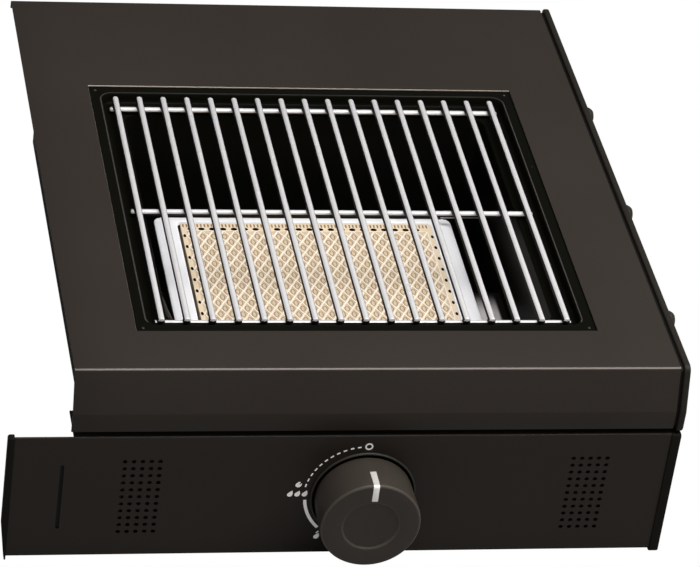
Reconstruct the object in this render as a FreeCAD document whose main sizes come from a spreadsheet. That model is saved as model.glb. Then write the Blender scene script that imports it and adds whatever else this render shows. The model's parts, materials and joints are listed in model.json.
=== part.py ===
import FreeCAD, Part
import math
import os
import Sketcher

# Side burner of a gas grill: a sheet deck with a sunk infrared burner and a front control panel.
# +X runs to the right, +Y to the rear and +Z up, seen from the cook's side.
# The origin is the centre of the bolt pattern on the outer face of the left mounting plate.

Vector = FreeCAD.Vector
doc = FreeCAD.newDocument("SideBurner")

# Driving dimensions in millimetres
SIZES = [
    ("deck_width", 360.0, "deck, left edge to right edge"),
    ("deck_depth", 410.0, "deck, front bend to rear bend"),
    ("deck_top", 60.0, "deck top above the bolt centre"),
    ("deck_lip", 22.0, "deck beyond the left mounting plate"),
    ("deck_sheet", 1.2, "deck sheet"),
    ("rear_skirt", 40.0, "height of the rear skirt"),
    ("skirt_stub", 6.0, "height of the rear skirt beyond the left mounting plate"),
    ("fascia_lean", 7.5, "how far the upper facet leans out"),
    ("fascia_upper", 27.0, "height of the upper facet"),
    ("fascia_lower", 12.5, "height of the lower facet"),
    ("bend_radius", 2.0, "outer radius of the front bend"),
    ("cutout_left", 40.0, "left deck edge to the cut-out"),
    ("cutout_right", 42.7, "right deck edge to the cut-out"),
    ("cutout_front", 37.5, "front bend to the cut-out"),
    ("cutout_rear", 105.0, "rear bend to the cut-out"),
    ("cutout_corner", 2.0, "corner radius of the cut-out"),
    ("end_panel_wall", 6.0, "thickness of the right end panel"),
    ("end_panel_drop", 2.8, "end panel below the fascia"),
    ("end_panel_proud", 1.0, "end panel beyond the deck outline"),
    ("end_panel_corner", 4.0, "corner radius of the end panel"),
    ("end_panel_edge", 1.0, "edge rounding of the end panel"),
    ("end_screw_first", 58.0, "front bend to the first end screw"),
    ("end_screw_pitch", 114.0, "between end screws"),
    ("end_screw_drop", 7.0, "end screw below the deck top"),
    ("end_screw_radius", 6.0, "end screw head radius"),
    ("end_screw_crown", 4.2, "end screw head radius at its crown"),
    ("end_screw_head", 4.5, "end screw head height"),
    ("shank_radius", 2.0, "screw shank radius"),
    ("shank_gap", 0.1, "clearance round a screw shank"),
    ("side_sheet", 2.0, "side plates"),
    ("seat_gap", 0.2, "clearance between folded sheets"),
    ("bolt_spacing_y", 300.0, "mounting bolts along the depth"),
    ("bolt_spacing_z", 70.0, "mounting bolts along the height"),
    ("bolt_hole", 3.3, "mounting hole radius"),
    ("plate_foot", 51.0, "bolt centre to the lower edge of the left plate"),
    ("panel_gap", 4.0, "fascia to control panel"),
    ("panel_height", 87.5, "control panel height"),
    ("panel_left", 32.0, "control panel beyond the deck's left edge"),
    ("panel_sheet", 1.2, "control panel sheet"),
    ("panel_edge", 1.0, "edge rounding of the control panel"),
    ("panel_return", 26.0, "depth of the panel's upper return"),
    ("return_start", 2.0, "deck's left edge to the panel's upper return"),
    ("panel_foot", 16.0, "depth of the panel's lower return"),
    ("left_cap", 4.0, "left panel cap thickness"),
    ("right_cap", 6.0, "right panel cap thickness"),
    ("left_cap_depth", 4.0, "left panel cap behind the panel face"),
    ("left_cap_slope", 26.0, "height of the slope at the left panel cap's foot"),
    ("cap_lip", 1.0, "caps beyond the panel outline"),
    ("cap_drop", 2.0, "caps below the panel"),
    ("cap_corner", 2.0, "front corner radius of the caps"),
    ("angle_leg", 9.0, "panel angle legs"),
    ("angle_height", 46.0, "panel angle height"),
    ("angle_sheet", 1.5, "panel angle sheet"),
    ("vent_pitch", 5.2, "between vent holes"),
    ("vent_radius", 1.4, "vent hole radius"),
    ("vent_columns", 5, "vent columns in a field"),
    ("vent_rows", 11, "vent rows in a field"),
    ("vent_left", 33.1, "left deck edge to the left field"),
    ("vent_right", 37.0, "right deck edge to the right field"),
    ("vent_drop", 17.9, "panel top to the first vent row"),
    ("shield_stand", 12.0, "panel to the vent shields"),
    ("shield_sheet", 1.0, "vent shield sheet"),
    ("shield_side", 8.0, "vent shield beside the outer vent columns"),
    ("shield_end", 12.0, "vent shield below the lowest vent row"),
    ("shield_flange", 8.0, "flange of a vent shield"),
    ("slot_place", 3.2, "slot's centre line beyond the deck's left edge"),
    ("slot_width", 2.2, "slot width"),
    ("slot_depth", 0.7, "slot depth"),
    ("slot_length", 47.0, "slot length"),
    ("slot_corner", 1.0, "corner radius of the slot"),
    ("slot_drop", 20.0, "panel top to the slot"),
    ("knob_place", 177.0, "left deck edge to the knob axis"),
    ("knob_drop", 43.75, "panel top to the knob axis"),
    ("knob_radius", 30.0, "knob radius at its face"),
    ("knob_taper", 0.8, "knob radius lost towards the panel"),
    ("knob_rounding", 2.0, "knob rim rounding"),
    ("knob_stand", 30.0, "panel to the knob's face"),
    ("knob_gap", 1.5, "panel to the knob's rear rim"),
    ("knob_wall", 3.2, "knob skirt wall"),
    ("knob_floor", 5.0, "knob face thickness"),
    ("hub_radius", 10.0, "knob hub radius"),
    ("hub_floor", 9.0, "knob face to the end of the stem"),
    ("ring_radius", 16.5, "ring groove in the knob's face"),
    ("ring_width", 0.9, "ring groove width"),
    ("ring_depth", 0.8, "ring groove depth"),
    ("pointer_width", 3.6, "pointer width"),
    ("pointer_inner", 18.5, "knob axis to the pointer's inner end"),
    ("pointer_side", 14.0, "pointer length on the knob's side"),
    ("pointer_depth", 1.0, "pointer inlay depth"),
    ("bezel_radius", 31.7, "bezel outer radius"),
    ("bezel_well", 30.0, "bezel inner radius"),
    ("bezel_wall", 0.9, "bezel wall"),
    ("bezel_rise", 1.6, "bezel ring in front of the panel"),
    ("bezel_depth", 3.0, "bezel floor behind the panel face"),
    ("bezel_eye", 6.5, "bezel hole for the stem"),
    ("push_travel", 3.0, "how far the knob pushes in"),
    ("running_gap", 0.05, "radial clearance of the stem"),
    ("bracket_sheet", 1.5, "valve bracket sheet"),
    ("bracket_height", 36.0, "valve bracket along Z"),
    ("bracket_foot", 12.0, "valve bracket feet"),
    ("stem_radius", 4.0, "stem radius"),
    ("stem_flat", 2.8, "stem axis to its flat"),
    ("collar_radius", 6.0, "stem collar radius"),
    ("collar_length", 1.8, "stem collar length"),
    ("plug_radius", 5.0, "gas plug on the stem's end"),
    ("plug_length", 9.5, "gas plug length"),
    ("bonnet_flange", 18.0, "bonnet flange radius"),
    ("bonnet_front", 3.0, "bonnet front wall"),
    ("bonnet_radius", 12.0, "bonnet barrel radius"),
    ("bonnet_cavity", 9.5, "bonnet cavity radius"),
    ("bonnet_length", 16.0, "bonnet cavity length"),
    ("bonnet_screw_place", 14.0, "stem axis to the bonnet screws"),
    ("bonnet_screw_head", 3.2, "bonnet screw head radius"),
    ("bonnet_screw_rise", 2.0, "bonnet screw head height"),
    ("cup_radius", 9.0, "spring cup radius"),
    ("cup_sheet", 1.2, "spring cup wall"),
    ("cup_length", 4.8, "spring cup length"),
    ("spring_radius", 6.6, "mean radius of the return spring"),
    ("spring_wire", 0.6, "wire radius of the return spring"),
    ("spring_turns", 4, "turns of the return spring"),
    ("valve_width", 26.0, "valve body across"),
    ("valve_length", 22.0, "valve body along the stem"),
    ("plug_bore", 14.0, "depth of the plug bore"),
    ("outlet_radius", 8.0, "outlet boss radius"),
    ("outlet_length", 4.0, "outlet boss length"),
    ("passage_radius", 2.2, "gas passages"),
    ("hex_corner", 8.0, "hexagon corner radius"),
    ("nozzle_hex", 5.0, "nozzle hexagon length"),
    ("nozzle_radius", 3.5, "nozzle tip radius"),
    ("nozzle_end", 2.1, "nozzle radius at its end"),
    ("nozzle_tip", 8.0, "nozzle tip length"),
    ("jet_radius", 0.5, "gas jet radius"),
    ("inlet_hex", 7.0, "inlet hexagon length"),
    ("inlet_radius", 6.6, "inlet thread outer radius"),
    ("inlet_length", 13.0, "inlet thread length"),
    ("igniter_width", 18.0, "igniter across"),
    ("igniter_height", 20.0, "igniter height"),
    ("igniter_length", 20.0, "igniter along Y"),
    ("terminal_radius", 2.5, "lead terminals"),
    ("terminal_length", 6.0, "lead terminals"),
    ("lead_radius", 1.5, "ignition lead"),
    ("lead_bend", 16.0, "ignition lead bends"),
    ("lead_lane", 23.0, "electrode terminal to the ignition lead"),
    ("pan_sheet", 1.0, "pan sheet"),
    ("pan_lap", 14.0, "pan flange under the deck"),
    ("pan_rim", 7.6, "visible pan flange"),
    ("pan_corner", 7.0, "pan corner radius"),
    ("ledge_drop", 8.0, "deck top to the grate ledge"),
    ("ledge_width", 14.0, "grate ledge"),
    ("pan_floor", 110.0, "deck top to the pan floor"),
    ("rivet_inset", 4.2, "cut-out corner to the pan rivets"),
    ("rivet_head", 1.3, "pan rivet head radius"),
    ("rivet_crown", 0.9, "pan rivet head radius at its crown"),
    ("rivet_rise", 0.5, "pan rivet head height"),
    ("rivet_shank", 0.8, "pan rivet shank radius"),
    ("rivet_length", 3.0, "pan rivet shank length"),
    ("bar_radius", 2.15, "grate bar radius"),
    ("bar_side", 8.55, "pan mouth to the axis of the outer bars"),
    ("bar_count", 17, "grate bars"),
    ("bar_end", 4.2, "grate bar ends to the pan rim"),
    ("bar_rounding", 1.0, "rounding of the bar ends"),
    ("rod_radius", 2.0, "grate cross rod radius"),
    ("rod_end", 4.4, "cross rod ends to the pan rim"),
    ("rod_front", 3.3, "front bar ends to the front cross rod"),
    ("rod_rear", 8.3, "rear bar ends to the rear cross rod"),
    ("weld_depth", 0.4, "bars sunk into the rods at the welds"),
    ("grate_gap", 0.3, "grate above its ledge"),
    ("burner_drop", 60.0, "deck top to the burner frame"),
    ("burner_left", 18.4, "pan well to the burner frame at the left"),
    ("burner_right", 21.2, "pan well to the burner frame at the right"),
    ("burner_front", 48.4, "pan well to the burner frame at the front"),
    ("burner_rear", 35.9, "pan well to the burner frame at the rear"),
    ("burner_corner", 5.0, "burner frame corner radius"),
    ("burner_sheet", 1.0, "burner frame and plenum sheet"),
    ("skirt_height", 20.0, "burner frame skirt"),
    ("rail_side", 14.5, "frame rail at the left and right"),
    ("rail_end", 8.5, "frame rail at the front and rear"),
    ("tile_lap", 3.0, "tile under the frame"),
    ("tile_height", 12.5, "tile thickness"),
    ("gasket_height", 1.2, "tile gasket"),
    ("gasket_width", 5.0, "tile gasket width"),
    ("plenum_height", 27.0, "plenum height"),
    ("tube_radius", 11.0, "venturi tube radius"),
    ("tube_wall", 1.0, "venturi tube wall"),
    ("tube_gap", 0.2, "venturi tube in its holes"),
    ("tube_inside", 4.0, "venturi tube inside the plenum wall"),
    ("tube_start", 1.0, "nozzle hexagon to the venturi mouth"),
    ("mouth_radius", 13.0, "venturi mouth radius"),
    ("mouth_length", 6.0, "venturi mouth length"),
    ("support_drop", 72.0, "deck top to the burner brackets"),
    ("support_place", 148.0, "front bend to the burner brackets"),
    ("support_width", 60.0, "burner bracket along Y"),
    ("support_tab", 16.0, "burner bracket tabs"),
    ("support_sheet", 1.5, "burner bracket sheet"),
    ("support_screw", 12.0, "burner screws from the bracket's middle"),
    ("screw_head", 3.4, "burner screw head radius"),
    ("screw_rise", 2.0, "burner screw head height"),
    ("electrode_place", 237.0, "front bend to the electrode"),
    ("electrode_drop", 54.0, "deck top to the electrode"),
    ("electrode_reach", 30.0, "electrode rod from the pan wall"),
    ("electrode_wire", 0.9, "electrode rod radius"),
    ("insulator_radius", 2.8, "insulator radius"),
    ("insulator_collar", 5.0, "insulator collar radius"),
    ("insulator_inside", 4.0, "insulator inside the pan"),
    ("insulator_outside", 16.0, "insulator outside the pan"),
    ("collar_wall", 3.0, "insulator collar length"),
    ("clip_height", 24.0, "electrode clip height"),
    ("clip_width", 20.0, "electrode clip width"),
    ("clip_sheet", 1.0, "electrode clip sheet"),
    ("probe_radius", 1.5, "thermocouple probe radius"),
    ("probe_gap", 2.6, "probe axis to the burner frame"),
    ("probe_drop", 62.0, "deck top to the probe"),
    ("probe_reach", 104.0, "probe from the pan wall"),
    ("probe_knee", 75.0, "pan wall to the bend of the probe"),
    ("probe_bow", 4.0, "sideways bend of the probe"),
    ("probe_bend", 30.0, "probe bend radius"),
    ("nut_corner", 5.5, "thermocouple nut corner radius"),
    ("nut_length", 7.0, "thermocouple nut length"),
    ("line_radius", 1.2, "thermocouple lead radius"),
    ("line_bend", 12.0, "thermocouple lead bends"),
]

sheet = doc.addObject("Spreadsheet::Sheet", "Sizes")
for row, (alias, number, meaning) in enumerate(SIZES, start=1):
    sheet.set(f"A{row}", meaning)
    sheet.set(f"B{row}", str(number))
    sheet.setAlias(f"B{row}", alias)
doc.recompute()


class Size:
    """A length that carries its number and the sheet expression that it comes from."""

    def __init__(self, number, text):
        self.number = number
        self.text = text

    def __add__(self, other):
        other = as_size(other)
        return Size(self.number + other.number, f"({self.text} + {other.text})")

    def __sub__(self, other):
        other = as_size(other)
        return Size(self.number - other.number, f"({self.text} - {other.text})")

    def __mul__(self, other):
        other = as_size(other)
        return Size(self.number * other.number, f"({self.text} * {other.text})")

    def __truediv__(self, other):
        other = as_size(other)
        return Size(self.number / other.number, f"({self.text} / {other.text})")

    def __neg__(self):
        return Size(-self.number, f"(0 - {self.text})")

    def __rsub__(self, other):
        return as_size(other) - self

    __radd__ = __add__
    __rmul__ = __mul__


def as_size(value):
    """A plain number as a Size, and a Size as it is."""
    return value if isinstance(value, Size) else Size(value, repr(value))


class Dimensions:
    """The sheet's cells as Sizes, by their alias."""

    def __getattr__(self, alias):
        return Size(float(getattr(sheet, alias)), f"Sizes.{alias}")


dim = Dimensions()
nodes = []


def node(piece, label):
    """Name a finished sub-part and put it on the list that is written out."""
    piece.Label = label
    nodes.append(piece)
    return piece


def bind(piece, name, size):
    """Tie a property to the sheet."""
    piece.setExpression(name, as_size(size).text)


# Primitives and booleans

TURN = {
    "X": FreeCAD.Rotation(Vector(0, 1, 0), 90),
    "-X": FreeCAD.Rotation(Vector(0, 1, 0), -90),
    "Y": FreeCAD.Rotation(Vector(1, 0, 0), -90),
    "Z": FreeCAD.Rotation(),
    "-Z": FreeCAD.Rotation(Vector(1, 0, 0), 180),
}


def place(piece, axis, start):
    """Stand a primitive at a point, turned to an axis."""
    piece.Placement = FreeCAD.Placement(Vector(), TURN[axis])
    for letter, size in zip("xyz", start):
        bind(piece, f"Placement.Base.{letter}", size)
    return piece


def block(low, high):
    """A box between two corners."""
    box = doc.addObject("Part::Box", "Block")
    for name, lower, upper in zip(("Length", "Width", "Height"), low, high):
        bind(box, name, as_size(upper) - lower)
    return place(box, "Z", low)


def rod(axis, start, length, radius):
    """A cylinder from a point along an axis."""
    cylinder = doc.addObject("Part::Cylinder", "Rod")
    bind(cylinder, "Radius", radius)
    bind(cylinder, "Height", length)
    return place(cylinder, axis, start)


def cone(axis, start, length, radius, end_radius):
    """A cone stump from a point along an axis."""
    stump = doc.addObject("Part::Cone", "Stump")
    bind(stump, "Radius1", radius)
    bind(stump, "Radius2", end_radius)
    bind(stump, "Height", length)
    return place(stump, axis, start)


def hexagon(axis, start, length, corner):
    """A hexagon bar from a point along an axis."""
    prism = doc.addObject("Part::Prism", "Hexagon")
    prism.Polygon = 6
    bind(prism, "Circumradius", corner)
    bind(prism, "Height", length)
    return place(prism, axis, start)


def fuse(*shapes):
    """Several shapes as one solid."""
    joined = doc.addObject("Part::MultiFuse", "Joined")
    joined.Shapes = list(shapes)
    joined.Refine = True
    return joined


def cut(base, *tools):
    """A shape less one or more tools."""
    result = doc.addObject("Part::Cut", "Cut")
    result.Base = base
    result.Tool = tools[0] if len(tools) == 1 else fuse(*tools)
    return result


def common(first, second):
    """What two shapes share."""
    shared = doc.addObject("Part::Common", "Shared")
    shared.Base = first
    shared.Tool = second
    return shared


def group(*shapes):
    """Separate solids kept together in one sub-part."""
    bundle = doc.addObject("Part::Compound", "Group")
    bundle.Links = list(shapes)
    return bundle


# Bodies from sketches

def new_body(label):
    """An empty body that becomes a sub-part."""
    return node(doc.addObject("PartDesign::Body", label), label)


def origin_plane(body, plane):
    """One of the body's own origin planes."""
    for feature in body.Origin.OriginFeatures:
        if feature.Role == plane + "_Plane":
            return feature
    raise RuntimeError("no plane " + plane)


def new_sketch(body, plane, offset):
    """A sketch on an origin plane, moved by (x, y, z) in the sketch's own directions."""
    sketch = body.newObject("Sketcher::SketchObject", body.Name + "_sketch")
    sketch.AttachmentSupport = [(origin_plane(body, plane), "")]
    sketch.MapMode = "FlatFace"
    for letter, size in zip("xyz", offset):
        bind(sketch, f"AttachmentOffset.Base.{letter}", size)
    return sketch


def pin_point(sketch, item, point, across, up):
    """Hold a point of a sketch at its two distances from the sketch's origin."""
    for kind, size in (("DistanceX", as_size(across)), ("DistanceY", as_size(up))):
        index = sketch.addConstraint(Sketcher.Constraint(kind, -1, 1, item, point, size.number))
        bind(sketch, f"Constraints[{index}]", size)


def polygon(sketch, points):
    """A closed outline through points."""
    corners = [Vector(as_size(a).number, as_size(b).number, 0) for a, b in points]
    count = len(corners)
    first = sketch.GeometryCount
    for start, end in zip(corners, corners[1:] + corners[:1]):
        sketch.addGeometry(Part.LineSegment(start, end), False)
    for index in range(count):
        following = first + (index + 1) % count
        sketch.addConstraint(Sketcher.Constraint("Coincident", first + index, 2, following, 1))
    for index, (across, up) in enumerate(points):
        pin_point(sketch, first + index, 1, across, up)


def circle(sketch, across, up, radius):
    """A circle about a point."""
    centre = Vector(as_size(across).number, as_size(up).number, 0)
    radius = as_size(radius)
    item = sketch.addGeometry(Part.Circle(centre, Vector(0, 0, 1), radius.number), False)
    pin_point(sketch, item, 3, across, up)
    index = sketch.addConstraint(Sketcher.Constraint("Radius", item, radius.number))
    bind(sketch, f"Constraints[{index}]", radius)


def rounded(sketch, low, high, corner):
    """A rectangle between two corners, with round corners."""
    left, bottom = (as_size(value) for value in low)
    right, top_edge = (as_size(value) for value in high)
    corner = as_size(corner)
    reach = corner.number
    x0, x1, y0, y1 = left.number, right.number, bottom.number, top_edge.number
    sides = [
        (Vector(x0 + reach, y0, 0), Vector(x1 - reach, y0, 0)),
        (Vector(x1, y0 + reach, 0), Vector(x1, y1 - reach, 0)),
        (Vector(x1 - reach, y1, 0), Vector(x0 + reach, y1, 0)),
        (Vector(x0, y1 - reach, 0), Vector(x0, y0 + reach, 0)),
    ]
    centres = [
        Vector(x1 - reach, y0 + reach, 0),
        Vector(x1 - reach, y1 - reach, 0),
        Vector(x0 + reach, y1 - reach, 0),
        Vector(x0 + reach, y0 + reach, 0),
    ]
    first = sketch.GeometryCount
    for start, end in sides:
        sketch.addGeometry(Part.LineSegment(start, end), False)
    for index, centre in enumerate(centres):
        ring = Part.Circle(centre, Vector(0, 0, 1), reach)
        begin = math.pi / 2 * (index - 1)
        sketch.addGeometry(Part.ArcOfCircle(ring, begin, begin + math.pi / 2), False)
    for index in range(4):
        arc = first + 4 + index
        sketch.addConstraint(Sketcher.Constraint("Tangent", first + index, 2, arc, 1))
        sketch.addConstraint(Sketcher.Constraint("Tangent", arc, 2, first + (index + 1) % 4, 1))
        sketch.addConstraint(Sketcher.Constraint(("Horizontal", "Vertical")[index % 2], first + index))
        if index:
            sketch.addConstraint(Sketcher.Constraint("Equal", first + 4, arc))
    holds = [
        Sketcher.Constraint("Radius", first + 4, corner.number),
        Sketcher.Constraint("DistanceY", -1, 1, first, 1, y0),
        Sketcher.Constraint("DistanceX", -1, 1, first + 1, 1, x1),
        Sketcher.Constraint("DistanceY", -1, 1, first + 2, 1, y1),
        Sketcher.Constraint("DistanceX", -1, 1, first + 3, 1, x0),
    ]
    for hold, size in zip(holds, (corner, bottom, right, top_edge, left)):
        bind(sketch, f"Constraints[{sketch.addConstraint(hold)}]", size)


def extrude(body, plane, low, high, draw, *shape):
    """Pad a drawn outline from low to high along the plane's axis."""
    start = -as_size(high) if plane == "XZ" else low
    sketch = new_sketch(body, plane, (0, 0, start))
    draw(sketch, *shape)
    pad = body.newObject("PartDesign::Pad", body.Name + "_pad")
    pad.Profile = sketch
    bind(pad, "Length", as_size(high) - low)
    doc.recompute()
    return pad


def carve(body, plane, low, high, draw, *shape):
    """Pocket a drawn outline from low to high along the plane's axis."""
    before = body.Shape.Volume
    start = -as_size(low) if plane == "XZ" else high
    sketch = new_sketch(body, plane, (0, 0, start))
    draw(sketch, *shape)
    pocket = body.newObject("PartDesign::Pocket", body.Name + "_pocket")
    pocket.Profile = sketch
    bind(pocket, "Length", as_size(high) - low)
    doc.recompute()
    if not body.Shape.Volume < before:
        raise RuntimeError(f"{body.Label}: a pocket cuts nothing")
    return pocket


def drill(body, plane, low, high, radius, *centres):
    """Round holes from low to high."""
    def holes(sketch):
        for across, up in centres:
            circle(sketch, across, up, radius)
    return carve(body, plane, low, high, holes)


def turned(body, axis, centre, profile):
    """Turn (along, radius) points about an axis parallel to X, Y or Z through a centre."""
    first, second = centre
    if axis == "Y":
        sketch = new_sketch(body, "YZ", (0, second, first))
    elif axis == "X":
        sketch = new_sketch(body, "XY", (0, first, second))
    else:
        sketch = new_sketch(body, "XZ", (first, 0, -as_size(second)))
    polygon(sketch, [(radius, along) if axis == "Z" else (along, radius) for along, radius in profile])
    turn = body.newObject("PartDesign::Revolution", body.Name + "_turn")
    turn.Profile = sketch
    turn.ReferenceAxis = (sketch, ["V_Axis" if axis == "Z" else "H_Axis"])
    turn.Angle = 360
    doc.recompute()
    return turn


def round_edges(body, radius, chosen):
    """Round the edges of a body that a test chooses."""
    tip = body.Tip
    names = [f"Edge{number}" for number, edge in enumerate(tip.Shape.Edges, start=1) if chosen(edge)]
    if not names:
        raise RuntimeError(f"{body.Label}: no edge to round")
    fillet = body.newObject("PartDesign::Fillet", body.Name + "_round")
    fillet.Base = (tip, names)
    bind(fillet, "Radius", radius)
    doc.recompute()


NEAR = 0.01


def along_x(across, up):
    """Chooses the straight edges along X at a Y and a Z."""
    spot = as_size(across).number, as_size(up).number

    def chosen(edge):
        ends = [vertex.Point for vertex in edge.Vertexes]
        return len(ends) == 2 and all(
            abs(end.y - spot[0]) < NEAR and abs(end.z - spot[1]) < NEAR for end in ends
        )
    return chosen


def on_side(side):
    """Chooses the edges that lie in the plane of an X."""
    def chosen(edge):
        return all(abs(vertex.Point.x - side.number) < NEAR for vertex in edge.Vertexes)
    return chosen


def bent_tube(points, radius, bend):
    """A round tube along straight runs joined by tangent arcs."""
    edges = []
    start = points[0]
    for before, corner, after in zip(points, points[1:], points[2:]):
        into = (corner - before).normalize()
        out = (after - corner).normalize()
        half = into.getAngle(out) / 2
        setback = bend * math.tan(half)
        inner = (out - into).normalize()
        arc_start = corner - into * setback
        arc_end = corner + out * setback
        middle = corner + inner * (bend / math.cos(half) - bend)
        edges.append(Part.LineSegment(start, arc_start).toShape())
        edges.append(Part.Arc(arc_start, middle, arc_end).toShape())
        start = arc_end
    edges.append(Part.LineSegment(start, points[-1]).toShape())
    section = Part.Circle(points[0], points[1] - points[0], radius).toShape()
    return Part.Wire(edges).makePipeShell([Part.Wire(section)], True, False)


def point(*sizes):
    """A point from three sizes."""
    return Vector(*(as_size(size).number for size in sizes))


def free_shape(label, shape):
    """A sub-part whose form no feature gives."""
    piece = node(doc.addObject("Part::Feature", label), label)
    piece.Shape = shape
    piece.Placement = FreeCAD.Placement()
    return piece


# Reference planes

front = -dim.deck_depth / 2
rear = dim.deck_depth / 2
top = dim.deck_top
under = top - dim.deck_sheet
facet_bend = top - dim.fascia_upper
fascia_bottom = facet_bend - dim.fascia_lower
face = front - dim.fascia_lean
panel_top = fascia_bottom - dim.panel_gap
panel_bottom = panel_top - dim.panel_height
panel_back = face + dim.panel_sheet
left = -dim.deck_lip
right = left + dim.deck_width
knob_x = left + dim.knob_place
knob_z = panel_top - dim.knob_drop

cut_low = (left + dim.cutout_left, front + dim.cutout_front)
cut_high = (right - dim.cutout_right, rear - dim.cutout_rear)
mouth_low = tuple(value + dim.pan_rim for value in cut_low)
mouth_high = tuple(value - dim.pan_rim for value in cut_high)
well_low = tuple(value + dim.ledge_width for value in mouth_low)
well_high = tuple(value - dim.ledge_width for value in mouth_high)
ledge = top - dim.ledge_drop
pan_floor = top - dim.pan_floor


# Deck: one folded sheet with the burner cut-out

def make_deck():
    body = new_body("deck")
    wall = dim.deck_sheet
    skirt_bottom = top - dim.rear_skirt
    outline = [
        (rear, skirt_bottom),
        (rear, top),
        (front, top),
        (face, facet_bend),
        (face, fascia_bottom),
        (face + wall, fascia_bottom),
        (face + wall, facet_bend),
        (front + wall, under),
        (rear - wall, under),
        (rear - wall, skirt_bottom),
    ]
    extrude(body, "YZ", left, right, polygon, outline)
    carve(body, "XY", under, top, rounded, cut_low, cut_high, dim.cutout_corner)
    stub_bottom = top - dim.skirt_stub
    over_wall = [(rear - wall, skirt_bottom), (rear, skirt_bottom), (rear, stub_bottom), (rear - wall, stub_bottom)]
    carve(body, "YZ", left, 0, polygon, over_wall)
    round_edges(body, dim.bend_radius, along_x(front, top))
    round_edges(body, dim.bend_radius, along_x(face, facet_bend))
    round_edges(body, dim.bend_radius, along_x(rear, top))


# Right end panel and its screws

screw_y = [front + dim.end_screw_first + dim.end_screw_pitch * index for index in range(3)]
screw_z = top - dim.end_screw_drop
end_face = right + dim.end_panel_wall


def make_end_panel():
    body = new_body("right_end_panel")
    proud = dim.end_panel_proud
    bottom = fascia_bottom - dim.end_panel_drop
    outline = [
        (rear + proud, bottom),
        (rear + proud, top + proud),
        (front - proud, top + proud),
        (face - proud, facet_bend),
        (face - proud, bottom),
    ]
    extrude(body, "YZ", right, end_face, polygon, outline)
    for corner in (outline[1], outline[2], outline[4]):
        round_edges(body, dim.end_panel_corner, along_x(*corner))
    round_edges(body, dim.end_panel_edge, on_side(end_face))
    hole = dim.shank_radius + dim.shank_gap
    drill(body, "YZ", right, end_face, hole, *[(place_y, screw_z) for place_y in screw_y])


def make_end_screws():
    screws = []
    for place_y in screw_y:
        inside = right - dim.side_sheet
        shank = rod("X", (inside, place_y, screw_z), end_face - inside, dim.shank_radius)
        head = cone("X", (end_face, place_y, screw_z), dim.end_screw_head, dim.end_screw_radius,
                    dim.end_screw_crown)
        screws.append(fuse(shank, head))
    node(group(*screws), "end_panel_screws")


# Side plates, with the bolt pattern in the left one

def side_outline(bottom):
    gap = dim.seat_gap
    inner_top = panel_top - dim.panel_sheet - gap
    fascia_side = front + dim.deck_sheet + gap
    return_end = face + dim.panel_return + gap
    return [
        (rear - dim.deck_sheet - gap, bottom),
        (rear - dim.deck_sheet - gap, under),
        (fascia_side, under),
        (fascia_side, panel_top + gap),
        (return_end, panel_top + gap),
        (return_end, inner_top),
        (panel_back + gap, inner_top),
        (panel_back + gap, bottom),
    ]


def make_side_plates():
    left_plate = new_body("left_mounting_plate")
    extrude(left_plate, "YZ", 0, dim.side_sheet, polygon, side_outline(-dim.plate_foot))
    half_y = dim.bolt_spacing_y / 2
    half_z = dim.bolt_spacing_z / 2
    bolts = [(-half_y, -half_z), (half_y, -half_z), (half_y, half_z), (-half_y, half_z)]
    drill(left_plate, "YZ", 0, dim.side_sheet, dim.bolt_hole, *bolts)
    right_plate = new_body("right_side_plate")
    bottom = panel_bottom + dim.panel_sheet + dim.seat_gap
    extrude(right_plate, "YZ", right - dim.side_sheet, right, polygon, side_outline(bottom))
    hole = dim.shank_radius + dim.shank_gap
    centres = [(place_y, screw_z) for place_y in screw_y]
    drill(right_plate, "YZ", right - dim.side_sheet, right, hole, *centres)


def make_panel_angles():
    """Two angles, each with one leg on the panel and one on a side plate."""
    angles = []
    low = knob_z - dim.angle_height / 2
    high = knob_z + dim.angle_height / 2
    deep = panel_back + dim.angle_leg
    for plate, tip, wall in (
        (dim.side_sheet, dim.side_sheet + dim.angle_leg, dim.side_sheet + dim.angle_sheet),
        (right - dim.side_sheet, right - dim.side_sheet - dim.angle_leg,
         right - dim.side_sheet - dim.angle_sheet),
    ):
        if tip.number > plate.number:
            on_panel = block((plate, panel_back, low), (tip, panel_back + dim.angle_sheet, high))
            on_plate = block((plate, panel_back, low), (wall, deep, high))
        else:
            on_panel = block((tip, panel_back, low), (plate, panel_back + dim.angle_sheet, high))
            on_plate = block((wall, panel_back, low), (plate, deep, high))
        angles.append(fuse(on_panel, on_plate))
    node(group(*angles), "panel_angles")


# Control panel with vents, slot and knob opening

vent_span = dim.vent_pitch * (dim.vent_columns - 1)
vent_starts = (left + dim.vent_left, right - dim.vent_right - vent_span)
vent_top = panel_top - dim.vent_drop
vent_height = dim.vent_pitch * (dim.vent_rows - 1)


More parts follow.
